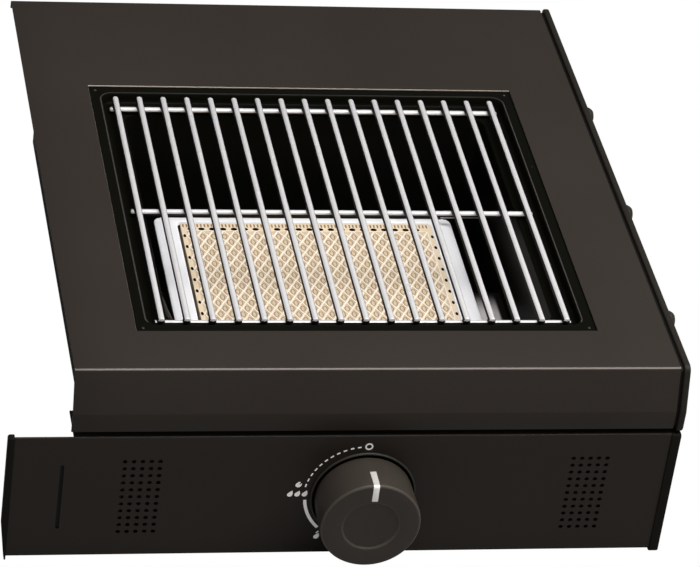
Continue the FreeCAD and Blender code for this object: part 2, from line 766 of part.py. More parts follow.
def make_control_panel():
    body = new_body("control_panel")
    wall = dim.panel_sheet
    back = face + dim.panel_return
    foot = face + dim.panel_foot
    outline = [
        (face, panel_top),
        (face, panel_bottom),
        (foot, panel_bottom),
        (foot, panel_bottom + wall),
        (panel_back, panel_bottom + wall),
        (panel_back, panel_top),
    ]
    extrude(body, "YZ", left - dim.panel_left, right, polygon, outline)
    flange = [(face, panel_top - wall), (back, panel_top - wall), (back, panel_top), (face, panel_top)]
    extrude(body, "YZ", left + dim.return_start, right, polygon, flange)
    for edge in (panel_top, panel_bottom):
        round_edges(body, dim.panel_edge, along_x(face, edge))
    opening = dim.bezel_well + dim.bezel_wall + dim.shank_gap
    drill(body, "XZ", face, panel_back, opening, (knob_x, knob_z))
    half = dim.slot_width / 2
    slot_x = left - dim.slot_place
    slot_low = (slot_x - half, panel_top - dim.slot_drop - dim.slot_length)
    slot_high = (slot_x + half, panel_top - dim.slot_drop)
    carve(body, "XZ", face, face + dim.slot_depth, rounded, slot_low, slot_high, dim.slot_corner)
    columns = range(round(dim.vent_columns.number))
    row = [(start + dim.vent_pitch * column, vent_top) for start in vent_starts for column in columns]
    vents = drill(body, "XZ", face, panel_back, dim.vent_radius, *row)
    rows = body.newObject("PartDesign::LinearPattern", "vent_rows")
    rows.Originals = [vents]
    rows.Direction = (vents.Profile[0], ["V_Axis"])
    rows.Reversed = True
    bind(rows, "Length", vent_height)
    bind(rows, "Occurrences", dim.vent_rows)
    body.Tip = rows
    doc.recompute()


def make_vent_shields():
    """A sheet behind each vent field, hung from the panel's upper return."""
    shields = []
    hung = panel_top - dim.panel_sheet
    start_y = panel_back + dim.shield_stand
    end_z = vent_top - vent_height - dim.shield_end
    for start in vent_starts:
        low, high = start - dim.shield_side, start + vent_span + dim.shield_side
        cover = block((low, start_y, end_z), (high, start_y + dim.shield_sheet, hung))
        flange = block((low, start_y, hung - dim.shield_sheet), (high, start_y + dim.shield_flange, hung))
        shields.append(fuse(cover, flange))
    node(group(*shields), "vent_shields")


def make_panel_cap(label, low, high, back):
    body = new_body(label)
    lip = dim.cap_lip
    bottom = panel_bottom - dim.cap_drop
    outline = [(face - lip, bottom), (face - lip, panel_top), (back, panel_top), (back, bottom)]
    extrude(body, "YZ", low, high, polygon, outline)
    for corner in outline[:2]:
        round_edges(body, dim.cap_corner, along_x(*corner))
    return body


def make_left_cap():
    """The left cap, with its outer side sloped in towards the foot."""
    inner = left - dim.panel_left
    outer = inner - dim.left_cap
    back = face + dim.left_cap_depth
    body = make_panel_cap("left_panel_cap", outer, inner, back)
    bottom = panel_bottom - dim.cap_drop
    slope = [(outer, bottom), (inner - dim.cap_lip, bottom), (outer, bottom + dim.left_cap_slope)]
    carve(body, "XZ", face - dim.cap_lip, back, polygon, slope)


# Knob, pointer, stem and bezel

knob_face = face - dim.knob_stand
knob_rear = face - dim.knob_gap
bezel_back = face + dim.bezel_depth + dim.panel_sheet
bonnet_start = bezel_back + dim.bracket_sheet
cavity_start = bonnet_start + dim.bonnet_front
valve_start = cavity_start + dim.bonnet_length
valve_end = valve_start + dim.valve_length
stem_tip = knob_face + dim.hub_floor


def make_knob():
    blank = doc.addObject("PartDesign::Body", "knob_blank")
    inner = dim.ring_radius - dim.ring_width / 2
    outer = dim.ring_radius + dim.ring_width / 2
    rear_radius = dim.knob_radius - dim.knob_taper
    skirt = rear_radius - dim.knob_wall
    profile = [
        (knob_face, 0),
        (knob_face, inner),
        (knob_face + dim.ring_depth, inner),
        (knob_face + dim.ring_depth, outer),
        (knob_face, outer),
        (knob_face, dim.knob_radius),
        (knob_rear, rear_radius),
        (knob_rear, skirt),
        (knob_face + dim.knob_floor, skirt),
        (knob_face + dim.knob_floor, dim.hub_radius),
        (knob_rear, dim.hub_radius),
        (knob_rear, dim.stem_radius),
        (stem_tip, dim.stem_radius),
        (stem_tip, 0),
    ]
    turned(blank, "Y", (knob_x, knob_z), profile)
    rim = dim.knob_radius.number

    def is_rim(edge):
        return all(
            abs(vertex.Point.y - knob_face.number) < NEAR
            and abs(math.hypot(vertex.Point.x - knob_x.number, vertex.Point.z - knob_z.number) - rim) < NEAR
            for vertex in edge.Vertexes
        )
    round_edges(blank, dim.knob_rounding, is_rim)
    half = dim.pointer_width / 2
    beyond = knob_z + dim.knob_radius + dim.pointer_depth
    on_face = block(
        (knob_x - half, knob_face - dim.pointer_depth, knob_z + dim.pointer_inner),
        (knob_x + half, knob_face + dim.pointer_depth, beyond),
    )
    on_side = block(
        (knob_x - half, knob_face - dim.pointer_depth, knob_z + dim.knob_radius - dim.knob_rounding),
        (knob_x + half, knob_face + dim.pointer_side, beyond),
    )
    inlay = fuse(on_face, on_side)
    node(cut(blank, inlay), "knob")
    node(common(blank, inlay), "knob_pointer")


def make_stem():
    body = new_body("valve_stem")
    collar = cavity_start + dim.seat_gap
    plug = valve_start + dim.seat_gap
    profile = [
        (stem_tip, 0),
        (stem_tip, dim.stem_radius),
        (collar, dim.stem_radius),
        (collar, dim.collar_radius),
        (collar + dim.collar_length, dim.collar_radius),
        (collar + dim.collar_length, dim.stem_radius),
        (plug, dim.stem_radius),
        (plug, dim.plug_radius),
        (plug + dim.plug_length, dim.plug_radius),
        (plug + dim.plug_length, 0),
    ]
    turned(body, "Y", (knob_x, knob_z), profile)
    flat_low = (knob_x - dim.stem_radius, knob_z + dim.stem_flat)
    flat_high = (knob_x + dim.stem_radius, knob_z + dim.stem_radius)
    corners = [flat_low, (flat_high[0], flat_low[1]), flat_high, (flat_low[0], flat_high[1])]
    carve(body, "XZ", stem_tip, face, polygon, corners)


def make_spring_cup():
    body = new_body("spring_cup")
    bore = dim.stem_radius + dim.running_gap
    start = cavity_start + dim.collar_length + dim.seat_gap * 2
    profile = [
        (start, bore),
        (start, dim.cup_radius),
        (start + dim.cup_length, dim.cup_radius),
        (start + dim.cup_length, dim.cup_radius - dim.cup_sheet),
        (start + dim.cup_sheet, dim.cup_radius - dim.cup_sheet),
        (start + dim.cup_sheet, bore),
    ]
    turned(body, "Y", (knob_x, knob_z), profile)
    return start + dim.cup_sheet


def make_return_spring(seat):
    """The coil at its pressed length, on arcs of a quarter turn."""
    turns = round(dim.spring_turns.number)
    wire = dim.spring_wire.number
    begin = seat.number + wire
    end = valve_start.number - dim.push_travel.number - dim.seat_gap.number - wire
    radius = dim.spring_radius.number
    steps = turns * 8

    def on_coil(step):
        angle = 2 * math.pi * turns * step / steps
        across = knob_x.number + radius * math.cos(angle)
        up = knob_z.number + radius * math.sin(angle)
        return Vector(across, begin + (end - begin) * step / steps, up)

    arcs = [Part.Arc(on_coil(step), on_coil(step + 1), on_coil(step + 2)).toShape()
            for step in range(0, steps, 2)]
    gap = (end - begin) / turns - 2 * wire
    print("return_spring: gap between turns", round(gap, 2))
    path = Part.Wire(arcs)
    heading = arcs[0].tangentAt(arcs[0].FirstParameter)
    section = Part.Wire(Part.Circle(on_coil(0), heading, wire).toShape())
    free_shape("return_spring", path.makePipeShell([section], True, False))


def make_bezel():
    body = new_body("knob_bezel")
    outside = dim.bezel_well + dim.bezel_wall
    floor_front = face + dim.bezel_depth
    profile = [
        (face - dim.bezel_rise, dim.bezel_well),
        (face - dim.bezel_rise, outside),
        (face - dim.bezel_rise / 2, dim.bezel_radius),
        (face, dim.bezel_radius),
        (face, outside),
        (bezel_back, outside),
        (bezel_back, dim.bezel_eye),
        (floor_front, dim.bezel_eye),
        (floor_front, dim.bezel_well),
    ]
    turned(body, "Y", (knob_x, knob_z), profile)
    drill(body, "XZ", floor_front, bezel_back, dim.shank_radius + dim.shank_gap, *bonnet_screw_centres())


# Gas valve behind the panel

def bonnet_screw_centres():
    return [(knob_x - dim.bonnet_screw_place, knob_z), (knob_x + dim.bonnet_screw_place, knob_z)]


def make_valve_bracket():
    body = new_body("valve_bracket")
    inside = dim.bezel_well + dim.bezel_wall + dim.seat_gap
    outside = inside + dim.bracket_sheet
    foot = outside + dim.bracket_foot
    foot_back = panel_back + dim.bracket_sheet
    half_outline = [
        (foot, panel_back),
        (inside, panel_back),
        (inside, bezel_back),
    ]
    half_return = [
        (outside, bonnet_start),
        (outside, foot_back),
        (foot, foot_back),
    ]
    outline = [(knob_x - across, along) for across, along in half_outline]
    outline += [(knob_x + across, along) for across, along in reversed(half_outline)]
    outline += [(knob_x + across, along) for across, along in reversed(half_return)]
    outline += [(knob_x - across, along) for across, along in half_return]
    half = dim.bracket_height / 2
    extrude(body, "XY", knob_z - half, knob_z + half, polygon, outline)
    drill(body, "XZ", bezel_back, bonnet_start, dim.bezel_eye, (knob_x, knob_z))
    hole = dim.shank_radius + dim.shank_gap
    drill(body, "XZ", bezel_back, bonnet_start, hole, *bonnet_screw_centres())


def make_bonnet():
    body = new_body("valve_bonnet")
    bore = dim.stem_radius + dim.running_gap
    profile = [
        (bonnet_start, bore),
        (bonnet_start, dim.bonnet_flange),
        (cavity_start, dim.bonnet_flange),
        (cavity_start, dim.bonnet_radius),
        (valve_start, dim.bonnet_radius),
        (valve_start, dim.bonnet_cavity),
        (cavity_start, dim.bonnet_cavity),
        (cavity_start, bore),
    ]
    turned(body, "Y", (knob_x, knob_z), profile)
    hole = dim.shank_radius + dim.shank_gap
    drill(body, "XZ", bonnet_start, cavity_start, hole, *bonnet_screw_centres())


def make_bonnet_screws():
    floor_front = face + dim.bezel_depth
    screws = []
    for across, up in bonnet_screw_centres():
        shank = rod("Y", (across, floor_front, up), cavity_start - floor_front, dim.shank_radius)
        head_start = floor_front - dim.bonnet_screw_rise
        head = rod("Y", (across, head_start, up), dim.bonnet_screw_rise, dim.bonnet_screw_head)
        screws.append(fuse(shank, head))
    node(group(*screws), "bonnet_screws")


def make_valve_body():
    half = dim.valve_width / 2
    core = block((knob_x - half, valve_start, knob_z - half), (knob_x + half, valve_end, knob_z + half))
    boss = rod("Y", (knob_x, valve_end, knob_z), dim.outlet_length, dim.outlet_radius)
    bore = rod("Y", (knob_x, valve_start, knob_z), dim.plug_bore, dim.plug_radius + dim.running_gap)
    outlet = rod("Y", (knob_x, valve_start, knob_z), dim.valve_length + dim.outlet_length,
                 dim.passage_radius)
    inlet = rod("-Z", (knob_x, valve_start + dim.plug_bore / 2, knob_z), half, dim.passage_radius)
    node(cut(fuse(core, boss), bore, outlet, inlet), "valve_body")


nozzle_start = valve_end + dim.outlet_length
nozzle_end = nozzle_start + dim.nozzle_hex


def make_nozzle():
    hexagon_part = hexagon("Y", (knob_x, nozzle_start, knob_z), dim.nozzle_hex, dim.hex_corner)
    tip = cone("Y", (knob_x, nozzle_end, knob_z), dim.nozzle_tip, dim.nozzle_radius,
               dim.nozzle_end)
    jet = rod("Y", (knob_x, nozzle_start, knob_z), dim.nozzle_hex + dim.nozzle_tip, dim.jet_radius)
    node(cut(fuse(hexagon_part, tip), jet), "gas_nozzle")


def make_inlet():
    start = (knob_x, valve_start + dim.plug_bore / 2, knob_z - dim.valve_width / 2)
    shoulder = (start[0], start[1], start[2] - dim.inlet_hex)
    hexagon_part = hexagon("-Z", start, dim.inlet_hex, dim.hex_corner + dim.tube_wall)
    thread = rod("-Z", shoulder, dim.inlet_length, dim.inlet_radius)
    bore = rod("-Z", start, dim.inlet_hex + dim.inlet_length, dim.passage_radius)
    node(cut(fuse(hexagon_part, thread), bore), "gas_inlet_fitting")


igniter_bottom = knob_z + dim.valve_width / 2
igniter_middle = (valve_start + dim.igniter_length / 2, igniter_bottom + dim.igniter_height / 2)


def make_igniter():
    half = dim.igniter_width / 2
    case = block((knob_x - half, valve_start, igniter_bottom),
                 (knob_x + half, valve_start + dim.igniter_length, igniter_bottom + dim.igniter_height))
    terminal = rod("X", (knob_x + half, *igniter_middle), dim.terminal_length, dim.terminal_radius)
    node(fuse(case, terminal), "igniter")


# Pan with its flange, ledge and well

electrode_y = front + dim.electrode_place
electrode_z = top - dim.electrode_drop
burner_low = (well_low[0] + dim.burner_left, well_low[1] + dim.burner_front)
burner_high = (well_high[0] - dim.burner_right, well_high[1] - dim.burner_rear)
probe_x = burner_low[0] - dim.probe_gap
probe_z = top - dim.probe_drop
rivet_centres = [(across, along)
                 for across in (cut_low[0] + dim.rivet_inset, cut_high[0] - dim.rivet_inset)
                 for along in (cut_low[1] + dim.rivet_inset, cut_high[1] - dim.rivet_inset)]


def grown(low, high, by):
    """A rectangle made larger all round."""
    return tuple(value - by for value in low), tuple(value + by for value in high)


def make_pan():
    body = new_body("pan")
    wall = dim.pan_sheet
    flange_low, flange_high = grown(cut_low, cut_high, dim.pan_lap)
    extrude(body, "XY", under - wall, under, rounded, flange_low, flange_high, dim.pan_corner)
    outer = grown(mouth_low, mouth_high, wall)
    extrude(body, "XY", ledge - wall, under - wall, rounded, *outer, dim.pan_corner + wall)
    outer = grown(well_low, well_high, wall)
    extrude(body, "XY", pan_floor - wall, ledge - wall, rounded, *outer, dim.pan_corner + wall)
    carve(body, "XY", ledge, under, rounded, mouth_low, mouth_high, dim.pan_corner)
    carve(body, "XY", pan_floor, ledge, rounded, well_low, well_high, dim.pan_corner)
    front_wall = (well_low[1] - wall, well_low[1])
    drill(body, "XZ", *front_wall, dim.tube_radius + dim.tube_gap, (knob_x, knob_z))
    drill(body, "XZ", *front_wall, dim.probe_radius + dim.shank_gap, (probe_x, probe_z))
    right_wall = (well_high[0], well_high[0] + wall)
    hole = dim.insulator_radius + dim.shank_gap
    drill(body, "YZ", *right_wall, hole, (electrode_y, electrode_z))
    drill(body, "XY", under - wall, under, dim.rivet_shank + dim.shank_gap, *rivet_centres)


def make_pan_rivets():
    rivets = []
    for across, along in rivet_centres:
        shank = rod("-Z", (across, along, under), dim.rivet_length, dim.rivet_shank)
        head = cone("Z", (across, along, under), dim.rivet_rise, dim.rivet_head, dim.rivet_crown)
        rivets.append(fuse(shank, head))
    node(group(*rivets), "pan_rivets")


# Lift-off grate

rod_z = ledge + dim.grate_gap + dim.rod_radius
bar_z = rod_z + dim.rod_radius + dim.bar_radius - dim.weld_depth
bar_front = mouth_low[1] + dim.bar_end
bar_rear = mouth_high[1] - dim.bar_end


def make_grate():
    bars = []
    count = round(dim.bar_count.number)
    first = mouth_low[0] + dim.bar_side
    pitch = (mouth_high[0] - dim.bar_side - first) / (dim.bar_count - 1)
    tip = dim.bar_rounding
    for index in range(count):
        across = first + pitch * index
        straight = rod("Y", (across, bar_front + tip, bar_z), bar_rear - bar_front - tip * 2,
                       dim.bar_radius)
        front_tip = cone("Y", (across, bar_front, bar_z), tip, dim.bar_radius - tip, dim.bar_radius)
        rear_tip = cone("Y", (across, bar_rear - tip, bar_z), tip, dim.bar_radius, dim.bar_radius - tip)
        bars.append(fuse(straight, front_tip, rear_tip))
    node(group(*bars), "grate_bars")
    start = mouth_low[0] + dim.rod_end
    length = mouth_high[0] - mouth_low[0] - dim.rod_end * 2
    nearest = bar_front + dim.rod_front
    farthest = bar_rear - dim.rod_rear
    places = (nearest, (nearest + farthest) / 2, farthest)
    rods = [rod("X", (start, along, rod_z), length, dim.rod_radius) for along in places]
    node(group(*rods), "grate_cross_rods")


# Burner: frame, tile, gasket, plenum and mixing tube

burner_top = top - dim.burner_drop
tile_top = burner_top - dim.burner_sheet
tile_bottom = tile_top - dim.tile_height
plenum_top = tile_bottom - dim.gasket_height
plenum_bottom = plenum_top - dim.plenum_height
window_low = (burner_low[0] + dim.rail_side, burner_low[1] + dim.rail_end)
window_high = (burner_high[0] - dim.rail_side, burner_high[1] - dim.rail_end)
tile_low, tile_high = grown(window_low, window_high, dim.tile_lap)
plenum_low, plenum_high = grown(burner_low, burner_high, -(dim.burner_sheet + dim.shank_gap))
support_y = front + dim.support_place
support_z = top - dim.support_drop
support_screw_z = support_z - dim.support_tab / 2


def burner_screw_centres():
    return [(support_y - dim.support_screw, support_screw_z), (support_y + dim.support_screw, support_screw_z)]


def make_burner_frame():
    body = new_body("burner_frame")
    wall = dim.burner_sheet
    corner = dim.burner_corner
    extrude(body, "XY", burner_top - dim.skirt_height, burner_top, rounded, burner_low, burner_high, corner)
    inner = grown(burner_low, burner_high, -wall)
    carve(body, "XY", burner_top - dim.skirt_height, burner_top - wall, rounded, *inner, corner - wall)
    carve(body, "XY", burner_top - wall, burner_top, rounded, window_low, window_high, corner - wall)
    front_wall = (burner_low[1], burner_low[1] + wall)
    drill(body, "XZ", *front_wall, dim.tube_radius + dim.tube_gap, (knob_x, knob_z))


def make_tile():
    body = new_body("ceramic_tile")
    extrude(body, "XY", tile_bottom, tile_top, rounded, tile_low, tile_high, dim.shank_radius)
    gasket = new_body("tile_gasket")
    extrude(gasket, "XY", plenum_top, tile_bottom, rounded, tile_low, tile_high, dim.shank_radius)
    inner = grown(tile_low, tile_high, -dim.gasket_width)
    carve(gasket, "XY", plenum_top, tile_bottom, rounded, *inner, dim.shank_radius)


def make_plenum():
    body = new_body("burner_plenum")
    wall = dim.burner_sheet
    corner = dim.burner_corner - wall
    extrude(body, "XY", plenum_bottom, plenum_top, rounded, plenum_low, plenum_high, corner)
    inner = grown(plenum_low, plenum_high, -wall)
    carve(body, "XY", plenum_bottom + wall, plenum_top - wall, rounded, *inner, corner - wall)
    mouth = grown(tile_low, tile_high, -dim.gasket_width)
    carve(body, "XY", plenum_top - wall, plenum_top, rounded, *mouth, dim.shank_radius)
    front_wall = (plenum_low[1], plenum_low[1] + wall)
    drill(body, "XZ", *front_wall, dim.tube_radius + dim.tube_gap, (knob_x, knob_z))


def make_venturi():
    body = new_body("venturi_tube")
    start = nozzle_end + dim.tube_start
    mouth_end = start + dim.mouth_length
    end = plenum_low[1] + dim.burner_sheet + dim.tube_inside
    wall = dim.tube_wall
    profile = [
        (start, dim.mouth_radius - wall),
        (start, dim.mouth_radius),
        (mouth_end, dim.tube_radius),
        (end, dim.tube_radius),
        (end, dim.tube_radius - wall),
        (mouth_end, dim.tube_radius - wall),
    ]
    turned(body, "Y", (knob_x, knob_z), profile)


def make_burner_brackets():
    """A tray-shaped strap on each side, from the pan wall to the plenum."""
    wall = dim.support_sheet
    low_y = support_y - dim.support_width / 2
    high_y = support_y + dim.support_width / 2
    below = support_z - dim.support_tab
    sides = (
        ("burner_bracket_left", well_low[0], burner_low[0], 1),
        ("burner_bracket_right", well_high[0], burner_high[0], -1),
    )
    for label, pan_side, burner_side, way in sides:
        outline = [
            (pan_side, support_z),
            (burner_side, support_z),
            (burner_side, below),
            (burner_side - wall * way, below),
            (burner_side - wall * way, support_z - wall),
            (pan_side + wall * way, support_z - wall),
            (pan_side + wall * way, below),
            (pan_side, below),
        ]
        body = new_body(label)
        extrude(body, "XZ", low_y, high_y, polygon, outline)
        tab = (burner_side - wall, burner_side) if way > 0 else (burner_side, burner_side + wall)
        drill(body, "YZ", *tab, dim.shank_radius + dim.shank_gap, *burner_screw_centres())


def make_burner_screws():
    screws = []
    wall = dim.support_sheet
    for start, axis in ((burner_low[0] - wall, "X"), (burner_high[0] + wall, "-X")):
        for along, up in burner_screw_centres():
            shank = rod(axis, (start, along, up), wall, dim.shank_radius)
            outward = dim.screw_rise if axis == "X" else -dim.screw_rise
            head = rod(axis, (start - outward, along, up), dim.screw_rise, dim.screw_head)
            screws.append(fuse(shank, head))
    node(group(*screws), "burner_screws")


# Electrode with its clip and lead

pan_right = well_high[0]
insulator_end = pan_right + dim.pan_sheet + dim.insulator_outside


def make_electrode():
    insulator = new_body("electrode_insulator")
    bore = dim.electrode_wire
    inside = pan_right - dim.insulator_inside
    collar = pan_right + dim.pan_sheet + dim.clip_sheet
    profile = [
        (inside, bore),
        (inside, dim.insulator_radius),
        (collar, dim.insulator_radius),
        (collar, dim.insulator_collar),
        (collar + dim.collar_wall, dim.insulator_collar),
        (collar + dim.collar_wall, dim.insulator_radius),
        (insulator_end, dim.insulator_radius),
        (insulator_end, bore),
    ]
    turned(insulator, "X", (electrode_y, electrode_z), profile)
    tip = pan_right - dim.electrode_reach
    length = insulator_end - tip
    wire = rod("X", (tip, electrode_y, electrode_z), length, dim.electrode_wire)
    terminal = rod("X", (insulator_end, electrode_y, electrode_z), dim.terminal_length, dim.terminal_radius)
    node(fuse(wire, terminal), "electrode_rod")
    half_y = dim.clip_width / 2
    half_z = dim.clip_height / 2
    outside = pan_right + dim.pan_sheet
    plate = block((outside, electrode_y - half_y, electrode_z - half_z),
                  (outside + dim.clip_sheet, electrode_y + half_y, electrode_z + half_z))
    eye = rod("X", (outside, electrode_y, electrode_z), dim.clip_sheet, dim.insulator_radius + dim.shank_gap)
    node(cut(plate, eye), "electrode_clip")


def make_ignition_lead():
    start_x = knob_x + dim.igniter_width / 2 + dim.terminal_length
    terminal_end = insulator_end + dim.terminal_length
    lane = terminal_end + dim.lead_lane
    along, up = igniter_middle
    points = [
        point(start_x, along, up),
        point(lane, along, up),
        point(lane, electrode_y, electrode_z),
        point(terminal_end, electrode_y, electrode_z),
    ]
    free_shape("ignition_lead", bent_tube(points, dim.lead_radius.number, dim.lead_bend.number))


# Thermocouple probe, nut and lead

nut_start = well_low[1] - dim.pan_sheet - dim.nut_length


def make_thermocouple():
    knee = well_low[1] + dim.probe_knee
    points = [
        point(probe_x, nut_start, probe_z),
        point(probe_x, knee, probe_z),
        point(probe_x - dim.probe_bow, well_low[1] + dim.probe_reach, probe_z),
    ]
    free_shape("thermocouple", bent_tube(points, dim.probe_radius.number, dim.probe_bend.number))
    nut = hexagon("Y", (probe_x, nut_start, probe_z), dim.nut_length, dim.nut_corner)
    bore = rod("Y", (probe_x, nut_start, probe_z), dim.nut_length, dim.probe_radius)
    node(cut(nut, bore), "thermocouple_nut")


def make_thermocouple_lead():
    along = valve_start + dim.valve_length / 2
    half = dim.valve_width / 2
    points = [
        point(probe_x, nut_start, probe_z),
        point(probe_x, along, probe_z),
        point((probe_x + knob_x) / 2, along, knob_z),
        point(knob_x - half, along, knob_z),
    ]
    free_shape("thermocouple_lead", bent_tube(points, dim.line_radius.number, dim.line_bend.number))


make_deck()
make_end_panel()
make_end_screws()
make_side_plates()
make_panel_angles()
make_control_panel()
make_vent_shields()
make_left_cap()
make_panel_cap("right_panel_cap", right, right + dim.right_cap, face + dim.panel_return + dim.cap_lip)
make_knob()
make_stem()
make_return_spring(make_spring_cup())
make_bezel()
make_valve_bracket()
make_bonnet()
make_bonnet_screws()
make_valve_body()
make_nozzle()
make_inlet()
make_igniter()
make_pan()
make_pan_rivets()
make_grate()
make_burner_frame()
make_tile()
make_plenum()
make_venturi()
make_burner_brackets()
make_burner_screws()
make_electrode()
make_ignition_lead()
make_thermocouple()
make_thermocouple_lead()

# Every object has to be sound before anything is written
doc.recompute()
for piece in doc.Objects:
    if "Invalid" in piece.State or "Error" in piece.State:
        raise RuntimeError(f"{piece.Label}: {piece.State}")
for piece in nodes:
    if piece.Shape.isNull() or not piece.Shape.isValid():
        raise RuntimeError(f"{piece.Label}: no valid shape")

os.makedirs("parts", exist_ok=True)
for piece in nodes:
    piece.Shape.exportStep(f"parts/{piece.Label}.step")
print(len(nodes), "sub-parts written")
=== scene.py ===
import json
import math

import bmesh
import bpy
from mathutils import Matrix, Vector


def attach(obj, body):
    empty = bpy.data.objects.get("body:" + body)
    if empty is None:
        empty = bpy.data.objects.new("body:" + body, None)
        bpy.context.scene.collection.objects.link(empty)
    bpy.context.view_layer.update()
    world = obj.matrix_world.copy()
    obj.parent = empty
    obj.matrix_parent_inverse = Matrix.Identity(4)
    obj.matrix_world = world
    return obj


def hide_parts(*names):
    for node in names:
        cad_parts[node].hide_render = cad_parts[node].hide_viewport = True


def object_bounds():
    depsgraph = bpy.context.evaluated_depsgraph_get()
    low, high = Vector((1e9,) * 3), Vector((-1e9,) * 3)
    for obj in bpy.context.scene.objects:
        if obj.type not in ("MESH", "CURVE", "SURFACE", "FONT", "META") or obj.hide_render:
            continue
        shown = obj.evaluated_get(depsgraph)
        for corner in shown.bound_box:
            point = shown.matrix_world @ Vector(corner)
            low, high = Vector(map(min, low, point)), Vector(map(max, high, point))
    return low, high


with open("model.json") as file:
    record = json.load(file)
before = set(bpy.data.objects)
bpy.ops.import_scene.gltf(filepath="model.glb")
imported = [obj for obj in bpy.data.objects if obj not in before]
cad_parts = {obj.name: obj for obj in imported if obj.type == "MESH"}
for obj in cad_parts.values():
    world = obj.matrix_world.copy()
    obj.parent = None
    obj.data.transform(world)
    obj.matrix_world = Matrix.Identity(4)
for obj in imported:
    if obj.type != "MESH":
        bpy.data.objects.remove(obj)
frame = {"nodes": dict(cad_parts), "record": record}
cad_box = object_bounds()
nodes = frame["nodes"]

# Shapes are drawn in millimetres with X from the deck's left edge.
# They move into the frame when they are finished.
MM = 0.001
DECK_LIP = 22.0
LEFT, RIGHT = 0.0, 360.0
FRONT, REAR, FACE = -205.0, 205.0, -212.5
TOP, FACET, FASCIA, STUB = 60.0, 33.0, 20.5, 54.0
TRIM_START, TRIM_END = RIGHT + 2.0, RIGHT + 6.0
PANEL_LEFT, PANEL_TOP, PANEL_BOTTOM, RETURN_START = -32.0, 16.5, -71.0, 2.0
CAP_FRONT, CAP_FOOT = -213.5, -73.0
CUT = ((40.0, -167.5), (317.3, 100.0))
MOUTH = ((47.6, -159.9), (309.7, 92.4))
BURNER = ((80.0, -97.5), (274.5, 42.5))
WINDOW = ((94.5, -89.0), (260.0, 34.0))
KNOB_X, KNOB_Z = 177.0, -27.25


# Shader sockets with arithmetic

def linear(red, green, blue):
    """An sRGB colour from 0 to 255 as linear values."""
    def channel(value):
        share = value / 255
        return share / 12.92 if share <= 0.04045 else ((share + 0.055) / 1.055) ** 2.4
    return channel(red), channel(green), channel(blue), 1.0


class Value:
    """A shader socket whose operators add Math nodes."""

    def __init__(self, paint, socket):
        self.paint = paint
        self.socket = socket

    def apply(self, operation, *others):
        sockets = dict(enumerate((self, *others)))
        return self.paint.node("Math", {"operation": operation}, sockets)

    def __add__(self, other):
        return self.apply("ADD", other)

    def __sub__(self, other):
        return self.apply("SUBTRACT", other)

    def __mul__(self, other):
        return self.apply("MULTIPLY", other)

    def __truediv__(self, other):
        return self.apply("DIVIDE", other)

    def __rsub__(self, other):
        return self * -1.0 + other

    __radd__ = __add__
    __rmul__ = __mul__

    def ramp(self, low, high):
        """0 below low, 1 above high and smooth between them."""
        settings = {"interpolation_type": "SMOOTHSTEP"}
        return self.paint.node("MapRange", settings, {"Value": self, "From Min": low, "From Max": high})


class Paint:
    """A procedural material that reads the object's own coordinates."""

    def __init__(self, name):
        self.material = bpy.data.materials.new(name)
        self.material.use_nodes = True
        self.tree = self.material.node_tree
        self.tree.nodes.clear()
        self.place = self.node("TexCoord", output=3)

    def node(self, kind, settings=None, sockets=None, output=0):
        """Any shader node: its settings first, then its sockets."""
        made = self.tree.nodes.new("ShaderNode" + kind)
        for key, value in (settings or {}).items():
            setattr(made, key, value)
        for key, value in (sockets or {}).items():
            if isinstance(value, Value):
                self.tree.links.new(value.socket, made.inputs[key])
            else:
                made.inputs[key].default_value = value
        return Value(self, made.outputs[output]) if made.outputs else None

    def noise(self, scale, detail=2.0, stretch=(1.0, 1.0, 1.0)):
        place = self.node("Mapping", {}, {"Vector": self.place, "Scale": stretch})
        return self.node("TexNoise", {}, {"Vector": place, "Scale": scale, "Detail": detail})

    def height(self):
        """The height above the frame's origin, in millimetres."""
        return self.axis(2)

    def axis(self, index):
        return self.node("SeparateXYZ", {}, {"Vector": self.place}, index) / MM

    def mix(self, share, first, second):
        return self.node("Mix", {"data_type": "RGBA"}, {0: share, 6: first, 7: second}, 2)

    def finish(self, colour, rough, relief=None, depth=0.0, **fixed):
        """The surface shader and the output."""
        sockets = {"Base Color": colour, "Roughness": rough}
        for name, value in fixed.items():
            sockets[name.replace("_", " ")] = value
        if relief is not None:
            sockets["Normal"] = self.node("Bump", {}, {"Height": relief, "Distance": depth, "Strength": 0.6})
        shader = self.node("BsdfPrincipled", {}, sockets)
        self.node("OutputMaterial", {}, {"Surface": shader})
        return self.material


def surface(name, dark, light, rough, grain=2200, stretch=(1, 1, 1), cloud=11, depth=0.00002, **fixed):
    """A finish with broad clouds, a fine grain and a slight relief."""
    paint = Paint(name)
    fine = paint.noise(grain, 2, stretch)
    broad = paint.noise(cloud, 3)
    share = (fine * 0.45 + broad * 0.55).ramp(0.3, 0.7)
    colour = paint.mix(share, linear(*dark), linear(*light))
    return paint.finish(colour, (broad - 0.5) * 0.12 + rough, fine, depth, **fixed)


def make_enamel():
    """Glossy black enamel with a slight wave and a few pale specks."""
    paint = Paint("pan_enamel_paint")
    wave = paint.noise(160, 2)
    cells = paint.node("TexVoronoi", {}, {"Vector": paint.place, "Scale": 210.0})
    speck = (1.0 - cells.ramp(0.03, 0.07)) * paint.noise(60, 1).ramp(0.6, 0.68)
    colour = paint.mix(speck * 0.5, linear(11, 11, 8), linear(120, 118, 112))
    return paint.finish(colour, wave * 0.08 + 0.3, wave, 0.00004, Specular_IOR_Level=0.015)


